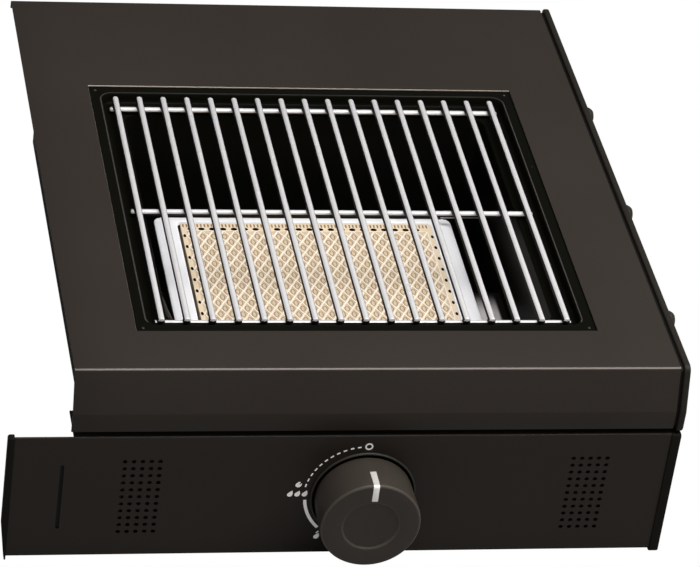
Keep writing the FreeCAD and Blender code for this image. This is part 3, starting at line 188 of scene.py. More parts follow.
def make_tile_paint(name, low_colour, high_colour, low, high):
    """Porous ceramic that grows paler with its height."""
    paint = Paint(name)
    pores = paint.noise(1500, 3)
    share = (paint.height() + (pores - 0.5) * 0.5).ramp(low, high)
    colour = paint.mix(share, linear(*low_colour), linear(*high_colour))
    tinted = paint.mix(pores.ramp(0.35, 0.75) * 0.35, colour, linear(214, 186, 152))
    return paint.finish(tinted, pores * 0.1 + 0.78, pores, 0.00006)


def make_crease_paint():
    """Dark dots along the crease of the burner frame."""
    paint = Paint("crease_paint")
    dots = (paint.axis(1) * 4.0).apply("SINE").ramp(-0.2, 0.4)
    colour = paint.mix(dots, linear(205, 204, 206), linear(120, 117, 114))
    return paint.finish(colour, dots * 0.1 + 0.4, Metallic=0.3)


def make_knob_paint():
    """Matt moulded plastic with a fine grain."""
    paint = Paint("knob_paint")
    fine = paint.noise(3200, 2)
    broad = paint.noise(30, 2)
    colour = paint.mix((fine * 0.5 + broad * 0.5).ramp(0.3, 0.7), linear(45, 40, 35), linear(52, 46, 41))
    return paint.finish(colour, (broad - 0.5) * 0.1 + 0.46, fine, 0.00002, Specular_IOR_Level=0.2)


def make_soot_and_shade_zinc():
    """Zinc painted dark as soot and as shade under the pan and the bars, still pale at the front of the
    right bracket.
    """
    paint = Paint("soot_and_painted_shade_zinc_paint")
    fine = paint.noise(900, 2)
    across, along = paint.axis(0), paint.axis(1)
    # The rear and the parts outside a band across the bracket are painted dark as soot and shade.
    front = 1.0 - (along + (fine - 0.5) * 6.0).ramp(-52.0, -28.0)
    right = across.ramp(200.0, 210.0) * (1.0 - across.ramp(268.0, 270.0))
    colour = paint.mix(front * right, linear(20, 18, 16), linear(196, 192, 190))
    return paint.finish(colour, fine * 0.1 + 0.4, fine, 0.00001, Specular_IOR_Level=0.1)


DULL = {"Specular_IOR_Level": 0.12}
paints = {
    "deck_coating": surface("deck_paint", (40, 35, 31), (44, 39, 35), 0.45, 2600, cloud=7, **DULL),
    "panel_coating": surface("panel_paint", (35, 30, 26), (38, 33, 29), 0.45, 2600, cloud=7, **DULL),
    "trim_coating": surface("trim_paint", (31, 28, 24), (36, 33, 29), 0.5, 2400, **DULL),
    "black_screws": surface("black_screw_paint", (40, 37, 33), (48, 45, 40), 0.42, 1800, **DULL),
    "side_steel": surface("side_paint", (44, 41, 38), (52, 49, 45), 0.55, 2400, **DULL),
    "bracket_steel": surface("zinc_paint", (150, 148, 146), (176, 174, 172), 0.42, 900, Metallic=0.4),
    "knob_plastic": make_knob_paint(),
    "bezel_plastic": surface("bezel_paint", (40, 37, 33), (47, 44, 39), 0.4, 2600, **DULL),
    "pointer_white": surface("pointer_paint", (234, 231, 227), (242, 239, 235), 0.45, 2600),
    "valve_brass": surface("brass_paint", (196, 156, 84), (222, 184, 110), 0.3, 700, Metallic=0.95),
    "valve_alloy": surface("alloy_paint", (158, 159, 160), (184, 185, 186), 0.45, 1300, Metallic=0.85),
    "spring_steel": surface("spring_paint", (150, 150, 150), (176, 176, 175), 0.3, 900, Metallic=0.95),
    "igniter_plastic": surface("igniter_paint", (32, 32, 32), (42, 42, 41), 0.55, 2400),
    "lead_rubber": surface("lead_paint", (150, 48, 30), (172, 60, 38), 0.6, 1500),
    "copper_line": surface("copper_paint", (186, 108, 74), (208, 128, 90), 0.3, 900, Metallic=0.95),
    "probe_steel": surface("probe_paint", (170, 166, 160), (205, 200, 194), 0.3, 500, Metallic=0.4),
    "insulator_ceramic": surface("insulator_paint", (92, 88, 80), (120, 115, 106), 0.3, 600),
    "pan_enamel": make_enamel(),
    "grate_chrome": surface("grate_paint", (188, 186, 186), (194, 192, 192), 0.28, 300,
                            depth=0.0, Metallic=0.15),
    "burner_steel": surface("burner_paint", (236, 236, 238), (243, 242, 244), 0.4, 900, (1, 0.04, 1),
                            depth=0.000003),
    "tile_ceramic": make_tile_paint("tile_paint", (203, 180, 147), (250, 241, 228), -1.6, -1.1),
    "gasket_fibre": surface("gasket_paint", (206, 202, 194), (222, 219, 212), 0.85, 900),
}
# Paler paint on the deck's front bend: a painted highlight.
bend_painted_highlight = surface("bend_painted_highlight_paint", (104, 97, 92), (112, 105, 100), 0.4, 2600, **DULL)
# Pale paint for the deck's cut edges as a painted highlight and for the rods' undersides as a painted
# reflection.
pale_painted_light = surface("pale_painted_light_paint", (150, 140, 130), (172, 162, 150), 0.4, 1200, **DULL)
print_white = surface("print_paint", (240, 237, 233), (248, 245, 241), 0.5, 2400)
# Grey for the pointer's part on the skirt: painted shade.
pointer_painted_shade = surface("pointer_skirt_painted_shade_paint", (164, 159, 154), (172, 167, 162), 0.5, 2600, **DULL)
# Paler paint for the knob's rim and dish step: a painted highlight.
knob_painted_highlight = surface("knob_painted_highlight_paint", (62, 56, 51), (70, 64, 58), 0.4, 2600, **DULL)
cap_black = surface("cap_paint", (20, 18, 14), (24, 21, 17), 0.6, 2400, Specular_IOR_Level=0.05)
# Near black for the gap behind the trim, the blind slot and the bezel well: painted shade.
painted_shade_black = surface("painted_shade_black_paint", (9, 9, 7), (14, 13, 11), 0.6, 1800, **DULL)
# Near black inside the tile's border holes: painted shade.
tile_hole_painted_shade = surface("tile_hole_painted_shade_paint", (16, 12, 9), (30, 23, 17), 0.8, 1500, **DULL)
# Dark paint for the grate's undersides, ends and welds and for the burner frame's skirt: soot and painted
# shade.
soot_and_painted_shade = surface("soot_and_painted_shade_paint", (17, 15, 13), (27, 24, 21), 0.5, 900, **DULL)
# Grey for the pan's rim crest as a painted highlight, and the dull finish of the rivets and the
# thermocouple.
rim_painted_highlight_and_dull_metal = surface("rim_painted_highlight_and_dull_metal_paint", (46, 44, 41), (58, 55, 52), 0.4, 900, **DULL)
crease_dots = make_crease_paint()
soot_and_shade_zinc = make_soot_and_shade_zinc()
tile_border = make_tile_paint("tile_border_paint", (206, 184, 152), (230, 211, 182), -1.6, -1.1)
tile_ring = make_tile_paint("tile_ring_paint", (108, 82, 54), (130, 102, 72), -1.6, -1.1)


# Mesh helpers

def rounded_path(points, radii, steps=6, closed=False):
    """A path of two-number points with rounded corners."""
    path = []
    count = len(points)
    for index, (spot, radius) in enumerate(zip(points, radii)):
        if radius == 0 or (not closed and index in (0, count - 1)):
            path.append(spot)
            continue
        corner = Vector(spot)
        into = (Vector(points[index - 1]) - corner).normalized()
        out = (Vector(points[(index + 1) % count]) - corner).normalized()
        half = into.angle(out) / 2
        reach = radius / math.tan(half)
        centre = corner + (into + out).normalized() * (radius / math.sin(half))
        first = corner + into * reach - centre
        turn = math.pi - 2 * half
        if into.x * out.y - into.y * out.x > 0:
            turn = -turn
        for step in range(steps + 1):
            angle = turn * step / steps
            across = first.x * math.cos(angle) - first.y * math.sin(angle)
            up = first.x * math.sin(angle) + first.y * math.cos(angle)
            path.append((centre.x + across, centre.y + up))
    return path


def rounded_box(low, high, corner, steps=6):
    """The outline of a rectangle with round corners."""
    points = [(low[0], low[1]), (high[0], low[1]), (high[0], high[1]), (low[0], high[1])]
    return rounded_path(points, [corner] * 4, steps, closed=True)


def disc(centre, radius, count, squeeze=1.0):
    """A round or oval outline."""
    turns = [2 * math.pi * step / count for step in range(count)]
    return [(centre[0] + radius * math.cos(a), centre[1] + radius * squeeze * math.sin(a)) for a in turns]


def grown(box, by):
    """A rectangle made larger on every side."""
    (x0, y0), (x1, y1) = box
    return (x0 - by, y0 - by), (x1 + by, y1 + by)


def between(first, second, share):
    """A rectangle part of the way from one to another."""
    return tuple(tuple(a + (b - a) * share for a, b in zip(one, two)) for one, two in zip(first, second))


def in_space(axis, along, pair):
    """A point from its place along an axis and its two other coordinates in order."""
    spot = list(pair)
    spot.insert("XYZ".index(axis), along)
    return Vector(spot)


def unit(axis):
    """A step of one along an axis."""
    return in_space(axis, 1.0, (0.0, 0.0))


def ring(bm, points):
    """A closed loop of edges."""
    verts = [bm.verts.new(point) for point in points]
    return [bm.edges.new(pair) for pair in zip(verts, verts[1:] + verts[:1])]


def loft(bm, loops, start_cap=False, end_cap=False):
    """A skin over loops of the same count."""
    rows = [ring(bm, points) for points in loops]
    for before, after in zip(rows, rows[1:]):
        bmesh.ops.bridge_loops(bm, edges=before + after)
    if start_cap:
        bmesh.ops.contextual_create(bm, geom=rows[0])
    if end_cap:
        bmesh.ops.contextual_create(bm, geom=rows[-1])


def lathe(bm, profile, axis, centre, steps=64, closed=False):
    """Turn a profile of (along, radius) points about an axis."""
    spots = [in_space(axis, along, (centre[0], centre[1] + radius)) for along, radius in profile]
    verts = [bm.verts.new(spot) for spot in spots]
    edges = [bm.edges.new(pair) for pair in zip(verts, verts[1:])]
    if closed:
        edges.append(bm.edges.new((verts[-1], verts[0])))
    bmesh.ops.spin(bm, geom=verts + edges, cent=in_space(axis, 0.0, centre), axis=unit(axis), dvec=(0, 0, 0),
                   angle=2 * math.pi, steps=steps, use_merge=True)


def sharp_edges(faces, limit=40):
    """The edges between faces that meet at more than an angle."""
    edges = {edge for face in faces for edge in face.edges if len(edge.link_faces) == 2}
    return [edge for edge in edges if edge.calc_face_angle(0) > math.radians(limit)]


def soften(bm, edges, size, segments=2):
    """Round edges off."""
    bmesh.ops.bevel(bm, geom=edges, offset=size, offset_type="OFFSET", segments=segments, profile=0.5,
                    affect="EDGES", material=-1, clamp_overlap=True)


def prism(bm, outline, axis, low, high, bevel=0.0, segments=2):
    """An outline drawn out along an axis, with softened edges."""
    bottom = bm.faces.new([bm.verts.new(in_space(axis, low, pair)) for pair in outline])
    drawn = bmesh.ops.extrude_face_region(bm, geom=[bottom])["geom"]
    moved = [item for item in drawn if isinstance(item, bmesh.types.BMVert)]
    bmesh.ops.translate(bm, vec=unit(axis) * (high - low), verts=moved)
    faces = {face for vert in moved for face in vert.link_faces} | {bottom}
    bmesh.ops.recalc_face_normals(bm, faces=list(faces))
    if bevel:
        soften(bm, sharp_edges(faces), bevel, segments)


def drawn_on(bm, edges, vec):
    """Draw open edges out by a vector and return the far edges."""
    made = bmesh.ops.extrude_edge_only(bm, edges=edges)["geom"]
    verts = {item for item in made if isinstance(item, bmesh.types.BMVert)}
    bmesh.ops.translate(bm, vec=vec, verts=list(verts))
    return [item for item in made if isinstance(item, bmesh.types.BMEdge) and set(item.verts) <= verts]


def holed(bm, axis, along, outline, holes):
    """A flat face with holes; returns the edges of the outline and of each hole."""
    rows = [ring(bm, [in_space(axis, along, pair) for pair in loop]) for loop in (outline, *holes)]
    bmesh.ops.triangle_fill(bm, use_beauty=True, use_dissolve=False, edges=[e for row in rows for e in row])
    return rows[0], rows[1:]


def thicken(bm, wall, outside):
    """Give an open sheet its thickness on the inner side."""
    bmesh.ops.recalc_face_normals(bm, faces=bm.faces[:])
    outward = Vector(outside)
    facing = max(bm.faces, key=lambda face: face.calc_area() * abs(face.normal.dot(outward)))
    if facing.normal.dot(outward) < 0:
        bmesh.ops.reverse_faces(bm, faces=bm.faces[:])
    bmesh.ops.solidify(bm, geom=bm.faces[:], thickness=wall)


def paint_new(bm, before, index):
    """Give one finish to the faces that weren't there before."""
    for face in set(bm.faces) - before:
        face.material_index = index


def finish_piece(name, bm, materials, body, stands_for=(), sharp=38):
    """Turn a finished shape into a piece that rides on a body."""
    bmesh.ops.remove_doubles(bm, verts=bm.verts[:], dist=0.0004)
    bmesh.ops.recalc_face_normals(bm, faces=bm.faces[:])
    bmesh.ops.translate(bm, vec=(-DECK_LIP, 0, 0), verts=bm.verts[:])
    bmesh.ops.scale(bm, vec=(MM, MM, MM), verts=bm.verts[:])
    for face in bm.faces:
        face.smooth = True
    mesh = bpy.data.meshes.new(name)
    bm.to_mesh(mesh)
    bm.free()
    mesh.set_sharp_from_angle(angle=math.radians(sharp))
    for material in materials:
        mesh.materials.append(material)
    piece = bpy.data.objects.new(name, mesh)
    bpy.context.scene.collection.objects.link(piece)
    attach(piece, body)
    if stands_for:
        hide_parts(*stands_for)
    return piece


# Deck: a folded sheet whose cut edge is painted pale as a highlight on three sides of the opening, with a
# painted highlight on its front bend

def make_deck():
    wall, skirt_foot = 1.2, 20.0
    points = [(FACE, FASCIA), (FACE, FACET), (FRONT, TOP), (CUT[0][1], TOP), (CUT[1][1], TOP), (REAR, TOP),
              (REAR, STUB), (REAR, skirt_foot)]
    path = rounded_path(points, [0, 2.5, 2.4, 0, 0, 2.4, 0, 0])
    bm = bmesh.new()
    verts = [bm.verts.new((LEFT, y, z)) for y, z in path]
    edges = [bm.edges.new(pair) for pair in zip(verts, verts[1:])]
    for width in (DECK_LIP, CUT[0][0] - DECK_LIP, CUT[1][0] - CUT[0][0], RIGHT - CUT[1][0]):
        edges = drawn_on(bm, edges, (width, 0, 0))
    opening = []
    for face in bm.faces:
        spot = face.calc_center_median()
        in_cut = CUT[0][0] < spot.x < CUT[1][0] and CUT[0][1] < spot.y < CUT[1][1]
        over_wall = spot.x < DECK_LIP and spot.y > REAR - 0.1 and spot.z < STUB
        if in_cut or over_wall:
            opening.append(face)
    bmesh.ops.delete(bm, geom=opening, context="FACES")
    thicken(bm, wall, (0, 0, 1))
    soften(bm, sharp_edges(bm.faces, 50), 0.3)
    # The cut edges are painted pale as a highlight, save the right one, which lies in shade and keeps the
    # coating.
    low, high = grown(CUT, 0.5)
    shaded_strip = 2.0
    # The faces of the front bend are painted paler as a highlight.
    for face in bm.faces:
        spot = face.calc_center_median()
        inside = low[0] < spot.x < high[0] - shaded_strip and low[1] < spot.y < high[1]
        on_bend = spot.z > TOP - 1.0 and spot.y < FRONT + 2.5
        if inside and abs(face.normal.z) < 0.9:
            face.material_index = 1
        elif on_bend and 0.5 < face.normal.z < 0.9:
            face.material_index = 2
    finishes = [paints["deck_coating"], pale_painted_light, bend_painted_highlight]
    finish_piece("deck_sheet", bm, finishes, "chassis", ["deck"])


# Right end panel, a black sheet behind it as painted shade, and its screws

def make_end_panel():
    points = [(206.0, 17.7), (206.0, 61.0), (-206.0, 61.0), (CAP_FRONT, 33.0), (CAP_FRONT, 17.7)]
    outline = rounded_path(points, [1.5, 4.0, 5.0, 6.0, 4.0], closed=True)
    bm = bmesh.new()
    prism(bm, outline, "X", TRIM_START, TRIM_END, 1.0, 3)
    finish_piece("end_trim", bm, [paints["trim_coating"]], "chassis", ["right_end_panel"])


def make_end_shade_sheet():
    # A black sheet in the gap behind the trim: painted shade.
    overlap = 0.1
    points = [(204.0, 20.5), (204.0, 58.8), (-204.5, 58.8), (-211.3, 32.5), (-211.3, 20.5)]
    outline = rounded_path(points, [1.0, 3.0, 4.0, 5.0, 3.0], 5, closed=True)
    bm = bmesh.new()
    prism(bm, outline, "X", RIGHT - overlap, TRIM_START + overlap, 0.3)
    finish_piece("end_painted_shade_sheet", bm, [painted_shade_black], "chassis")


def make_end_screws():
    """Domed heads with a hexagon socket."""
    height = 53.0
    turns = [2 * math.pi * step / 36 for step in range(36)]
    circle = [1.0] * len(turns)
    hexagon = [1 / math.cos((turn + math.pi / 6) % (math.pi / 3) - math.pi / 6) for turn in turns]
    dome = [(0.0, 6.0), (0.7, 6.0), (1.9, 5.6), (2.9, 5.0), (3.8, 4.3), (4.3, 3.7), (4.4, 3.3)]
    socket = [(4.35, 2.55), (2.2, 2.5)]
    profile = [(along, radius, circle) for along, radius in dome]
    profile += [(along, radius, hexagon) for along, radius in socket]
    bm = bmesh.new()
    for place in (-147.0, -33.0, 81.0):
        loops = []
        for along, radius, shape in profile:
            reaches = [radius * share for share in shape]
            loops.append([(TRIM_END + along, place + reach * math.cos(turn), height + reach * math.sin(turn))
                          for turn, reach in zip(turns, reaches)])
        loft(bm, loops, start_cap=True, end_cap=True)
    finishes = [paints["black_screws"]]
    finish_piece("end_screw_heads", bm, finishes, "chassis", ["end_panel_screws"])


# Control panel with its vents, slot and end caps

def make_panel():
    bend, wall, top_return, low_return = 1.0, 1.2, 25.0, 15.0
    slot_x, slot_half, slot_low, slot_high, slot_depth = -3.2, 1.1, -50.5, -3.5, 0.7
    vent_radius, vent_pitch, vent_top = 1.4, 5.2, -1.4
    low, high = PANEL_BOTTOM + bend, PANEL_TOP - bend
    outline = [(PANEL_LEFT, low), (RIGHT, low), (RIGHT, high), (RETURN_START, high), (PANEL_LEFT, high)]
    slot = rounded_box((slot_x - slot_half, slot_low), (slot_x + slot_half, slot_high), 1.05, 4)
    holes = [slot, disc((KNOB_X, KNOB_Z), 31.0, 72)]
    for start in (33.1, 302.2):
        for column in range(5):
            x = start + vent_pitch * column
            holes += [disc((x, vent_top - vent_pitch * line), vent_radius, 14) for line in range(11)]
    bm = bmesh.new()
    rim, inner = holed(bm, "Y", FACE, outline, holes)
    floor = drawn_on(bm, inner[0], (0, slot_depth, 0))
    bmesh.ops.contextual_create(bm, geom=floor)
    steps = [math.pi / 2 * step / 5 for step in range(6)]
    for way, edges, reach in ((1, rim[2:4], top_return), (-1, rim[:1], low_return)):
        for before, after in zip(steps, steps[1:]):
            back = bend * (math.cos(before) - math.cos(after))
            up = bend * (math.sin(after) - math.sin(before))
            edges = drawn_on(bm, edges, (0, back, way * up))
        if way > 0:
            edges = [edge for edge in edges if max(vert.co.x for vert in edge.verts) > RETURN_START + 1]
        drawn_on(bm, edges, (0, reach, 0))
    thicken(bm, wall, (0, -1, 0))
    # The walls and floor of the blind slot are painted black as shade.
    margin = 0.1
    for face in bm.faces:
        spot = face.calc_center_median()
        across = abs(spot.x - slot_x) < slot_half + margin
        along = slot_low - margin < spot.z < slot_high + margin
        if across and along and spot.y > FACE + margin:
            face.material_index = 1
    finishes = [paints["panel_coating"], painted_shade_black]
    finish_piece("control_front", bm, finishes, "chassis", ["control_panel"])


def make_left_cap():
    """A narrow cap whose foot slopes inwards."""
    outer, back = -36.0, -208.5
    points = [(outer, PANEL_TOP), (PANEL_LEFT, PANEL_TOP), (PANEL_LEFT, CAP_FOOT), (-33.0, CAP_FOOT),
              (outer, -47.0)]
    outline = rounded_path(points, [1.5, 0, 0, 0.5, 8.0], 5, closed=True)
    bm = bmesh.new()
    prism(bm, outline, "Y", CAP_FRONT, back, 0.6, 3)
    finish_piece("left_cap_moulding", bm, [cap_black], "chassis", ["left_panel_cap"], 25)


def make_right_cap():
    back = -185.5
    points = [(CAP_FRONT, CAP_FOOT), (CAP_FRONT, PANEL_TOP), (back, PANEL_TOP), (back, CAP_FOOT)]
    outline = rounded_path(points, [2.0] * 4, 5, closed=True)
    bm = bmesh.new()
    prism(bm, outline, "X", RIGHT, TRIM_END, 0.8, 3)
    finish_piece("right_cap_moulding", bm, [cap_black], "chassis", ["right_panel_cap"], 25)


# Knob, pointer, bezel and the printed dial

KNOB_FACE = -242.5
KNOB_RIM = [(KNOB_FACE, 27.9), (-242.4, 28.7), (-242.05, 29.4), (-241.4, 29.85), (-240.4, 30.0)]


def make_knob():
    dish = [(-241.3, 0.0), (-241.3, 16.0), (-241.4, 16.4), (-241.7, 16.7), (-242.3, 17.1), (KNOB_FACE, 17.6)]
    skirt = [(-217.0, 29.35), (-215.0, 29.2), (-214.25, 28.95), (-214.0, 28.4), (-214.0, 26.4),
             (-214.4, 26.0)]
    hollow = [(-236.7, 26.0), (-237.5, 25.2), (-237.5, 10.8), (-236.7, 10.0), (-214.6, 10.0), (-214.0, 9.4)]
    socket = [(-214.0, 4.1), (-233.4, 4.1), (-233.4, 0.0)]
    bm = bmesh.new()
    lathe(bm, dish + KNOB_RIM + skirt + hollow + socket, "Y", (KNOB_X, KNOB_Z), 96)
    # The rim's rounding and the dish's step are painted paler as a highlight.
    for face in bm.faces:
        near_face = KNOB_FACE < face.calc_center_median().y < KNOB_RIM[-1][0]
        rounded = 0.2 < abs(face.normal.y) < 0.95
        if near_face and rounded:
            face.material_index = 1
    finishes = [paints["knob_plastic"], knob_painted_highlight]
    finish_piece("knob_moulding", bm, finishes, "knob", ["knob"], 50)


def make_pointer():
    """A mark laid over the face, the rim and the skirt."""
    width, depth, proud = 3.6, 0.5, 0.12
    path = [(KNOB_FACE - proud, 18.5), (KNOB_FACE - proud, 27.9)]
    path += [(along - 0.09, radius + 0.08) for along, radius in KNOB_RIM[1:-1]]
    path += [(-240.4, 30.14), (-228.5, 29.82)]
    bm = bmesh.new()
    verts = [bm.verts.new((KNOB_X - width / 2, along, KNOB_Z + radius)) for along, radius in path]
    edges = [bm.edges.new(pair) for pair in zip(verts, verts[1:])]
    drawn_on(bm, edges, (width, 0, 0))
    thicken(bm, depth, (0, -0.6, 0.8))
    soften(bm, sharp_edges(bm.faces, 70), 0.1)
    # The part on the skirt is painted grey as shade.
    for face in bm.faces:
        on_skirt = face.normal.z > 0.9
        if on_skirt:
            face.material_index = 1
    finishes = [paints["pointer_white"], pointer_painted_shade]
    finish_piece("pointer_inlay", bm, finishes, "knob", ["knob_pointer"])


def make_bezel():
    """A ring whose crest keeps the bezel plastic; the well and all other faces are painted black as shade.
    """
    front = [(-212.4, 31.8), (-213.2, 31.75), (-213.8, 31.4), (-214.1, 30.9), (-213.9, 30.35),
             (-213.2, 30.05)]
    well = [(-209.9, 30.0), (-209.5, 29.6), (-209.5, 6.9), (-209.2, 6.5), (-208.3, 6.5), (-208.3, 30.9),
            (-212.4, 30.9)]
    bm = bmesh.new()
    lathe(bm, front + well, "Y", (KNOB_X, KNOB_Z), 96, closed=True)
    axis = Vector((KNOB_X, 0.0, KNOB_Z))
    crest_inner, crest_outer = 31.1, 31.7
    # Faces off the crest are painted black as shade.
    for face in bm.faces:
        reach = (face.calc_center_median() - axis).xz.length
        if reach < crest_inner or reach > crest_outer:
            face.material_index = 1
    finishes = [paints["bezel_plastic"], painted_shade_black]
    finish_piece("bezel_ring", bm, finishes, "chassis", ["knob_bezel"], 50)


def on_dial(angle, radius):
    """A point of the dial, the angle counted to the left from straight up."""
    turn = math.radians(angle)
    return KNOB_X - radius * math.sin(turn), KNOB_Z + radius * math.cos(turn)


def dial_arc(start, end, inner, outer):
    """The outline of a bent stroke."""
    count = max(2, round(abs(end - start) / 2))
    angles = [start + (end - start) * step / count for step in range(count + 1)]
    return [on_dial(a, outer) for a in angles] + [on_dial(a, inner) for a in reversed(angles)]


DROP = [(0.9, 1.9), (1.2, 0.5), (1.0, -0.4), (0.4, -1.0), (-0.4, -1.05), (-1.05, -0.6), (-1.15, 0.15),
        (-0.7, 0.8), (0.1, 1.4)]
NOTCHED = [(0.7, 1.5), (0.35, 0.55), (0.0, 0.1), (0.5, 0.3), (1.3, 0.75), (1.15, -0.4), (0.4, -1.1),
           (-0.4, -1.15), (-1.15, -0.6), (-1.25, 0.2), (-0.8, 0.9), (0.0, 1.4)]


def dial_mark(shape, across, up, size):
    """A small outline at a place counted from the knob's middle."""
    return [(KNOB_X + across + size * x, KNOB_Z + up + size * z) for x, z in shape]


def make_dial():
    """A ring for off, dashes towards the lighting mark, and an arc from high to low."""
    front, back = FACE - 0.12, FACE + 0.1
    dash_start, dash_step, dash_half = 9.6, 6.87, 1.75
    strokes = [dial_arc(96, 134.8, 33.7, 35.6), dial_arc(138.6, 139.8, 36.0, 38.0)]
    for step in range(11):
        middle = dash_start + dash_step * step
        strokes.append(dial_arc(middle - dash_half, middle + dash_half, 35.3, 36.15))
    for across, up in ((-43.9, 0.6), (-39.5, 0.6), (-35.1, 0.6), (-24.5, -31.5)):
        strokes.append(dial_mark(DROP, across, up, 1.45))
    strokes.append(dial_mark(NOTCHED, -39.4, 7.7, 1.5))
    bm = bmesh.new()
    for outline in strokes:
        prism(bm, outline, "Y", front, back)
    off_ring = [(front, 1.5), (front, 2.45), (back, 2.45), (back, 1.5)]
    lathe(bm, off_ring, "Y", (KNOB_X - 0.3, KNOB_Z + 35.8), 28, closed=True)
    finish_piece("dial_print", bm, [print_white], "chassis")


# Enamelled pan and its rivets

def make_pan():
    """A flange with a raised rim, a ledge and a deep well, each level set off from the mouth."""
    wall, ledge_corner, well_corner = 1.0, 7.0, 8.0
    levels = [
        (21.4, 58.7), (2.0, 58.7), (1.4, 58.8), (1.0, 59.0), (0.6, 59.0), (0.1, 58.7), (-0.2, 58.1),
        (-0.3, 55.0), (-0.5, 53.2), (-1.0, 52.5), (-2.0, 52.1), (-12.4, 52.0), (-13.4, 51.8), (-13.9, 51.2),
        (-14.05, 50.2), (-14.3, -43.0), (-15.0, -47.0), (-17.0, -49.2), (-20.0, -50.0), (-70.0, -50.4),
    ]
    loops = []
    for by, height in levels:
        corner = max(ledge_corner + by, ledge_corner) if by > -10 else well_corner
        loops.append([(x, y, height) for x, y in rounded_box(*grown(MOUTH, by), corner, 8)])
    bm = bmesh.new()
    loft(bm, loops, end_cap=True)
    thicken(bm, wall, (0, 0, 1))
    # The rim's crest, save a strip at the front, is painted grey as a highlight.
    crest_height, front_strip = 58.86, 3.0
    for face in bm.faces:
        spot = face.calc_center_median()
        if spot.z > crest_height and spot.y > MOUTH[0][1] + front_strip:
            face.material_index = 1
    finishes = [paints["pan_enamel"], rim_painted_highlight_and_dull_metal]
    finish_piece("pan_enamelled", bm, finishes, "chassis", ["pan"], 45)


def make_rivets():
    bm = bmesh.new()
    dome = [(58.5, 0.9), (58.85, 0.9), (59.1, 0.75), (59.25, 0.5), (59.32, 0.25), (59.34, 0.0)]
    for x in (44.2, 313.1):
        for y in (-163.3, 95.8):
            lathe(bm, dome, "Z", (x, y), 16)
    finish_piece("rivet_heads", bm, [rim_painted_highlight_and_dull_metal], "chassis", ["pan_rivets"])


# Lift-off grate: bars and cross rods with welds; their ends, undersides and welds are painted dark as soot
# and shade, and the rods have a pale painted reflection under their lit tops

BARS = [56.15 + 15.3125 * index for index in range(17)]
RODS = (-152.4, -36.25, 79.9)
ROD_Z, BAR_Z = 54.3, 58.05


def make_bars():
    bar = [(-155.7, 0.0), (-155.7, 1.7), (-155.5, 2.0), (-155.0, 2.15), (86.1, 2.15), (87.0, 1.98),
           (87.7, 1.55), (88.1, 0.85), (88.2, 0.0)]
    bm = bmesh.new()
    for x in BARS:
        lathe(bm, bar, "Y", (x, BAR_Z), 36)
    bmesh.ops.recalc_face_normals(bm, faces=bm.faces[:])
    # Below the lit top, the flanks and the lower front ends are painted dark as shade and soot.
    end_slope, painted_shade_slope, end_height = -0.8, 0.62, 0.3
    for face in bm.faces:
        at_end = face.normal.y < end_slope and face.calc_center_median().z < BAR_Z + end_height
        on_flank = face.normal.y > end_slope and face.normal.z < painted_shade_slope
        if at_end or on_flank:
            face.material_index = 1
    finishes = [paints["grate_chrome"], soot_and_painted_shade]
    finish_piece("grate_bar_set", bm, finishes, "grate", ["grate_bars"], 60)


def make_rods():
    rod = [(52.0, 0.0), (52.05, 0.9), (52.3, 1.5), (52.8, 1.88), (53.5, 2.0), (303.8, 2.0), (304.5, 1.88),
           (305.0, 1.5), (305.25, 0.9), (305.3, 0.0)]
    weld = [(ROD_Z + 0.6, 2.5), (ROD_Z + 1.5, 2.45), (ROD_Z + 2.2, 2.3), (ROD_Z + 3.0, 2.18),
            (ROD_Z + 3.5, 2.1)]
    bm = bmesh.new()
    for y in RODS:
        lathe(bm, rod, "X", (y, ROD_Z), 30)
    bmesh.ops.recalc_face_normals(bm, faces=bm.faces[:])
    # Each rod is painted pale as a reflection just below its lit top, and dark as shade and soot further
    # down; the front rod is dark from higher up.
    front_slope, rear_slope, reflection_slope = 0.82, 0.05, 0.3
    for face in bm.faces:
        at_front = face.calc_center_median().y < RODS[0] + 5
        shade_slope = front_slope if at_front else rear_slope
        if face.normal.z < shade_slope:
            face.material_index = 1
        elif face.normal.z < reflection_slope:
            face.material_index = 2
    # The welds are painted dark as shade and soot.
    before = set(bm.faces)
    for y in RODS:
        for x in BARS:
            lathe(bm, weld, "Z", (x, y), 14)
    paint_new(bm, before, 1)
    finishes = [paints["grate_chrome"], soot_and_painted_shade, pale_painted_light]
    finish_piece("grate_rod_set", bm, finishes, "grate", ["grate_cross_rods"], 60)


# Burner frame and ceramic tile

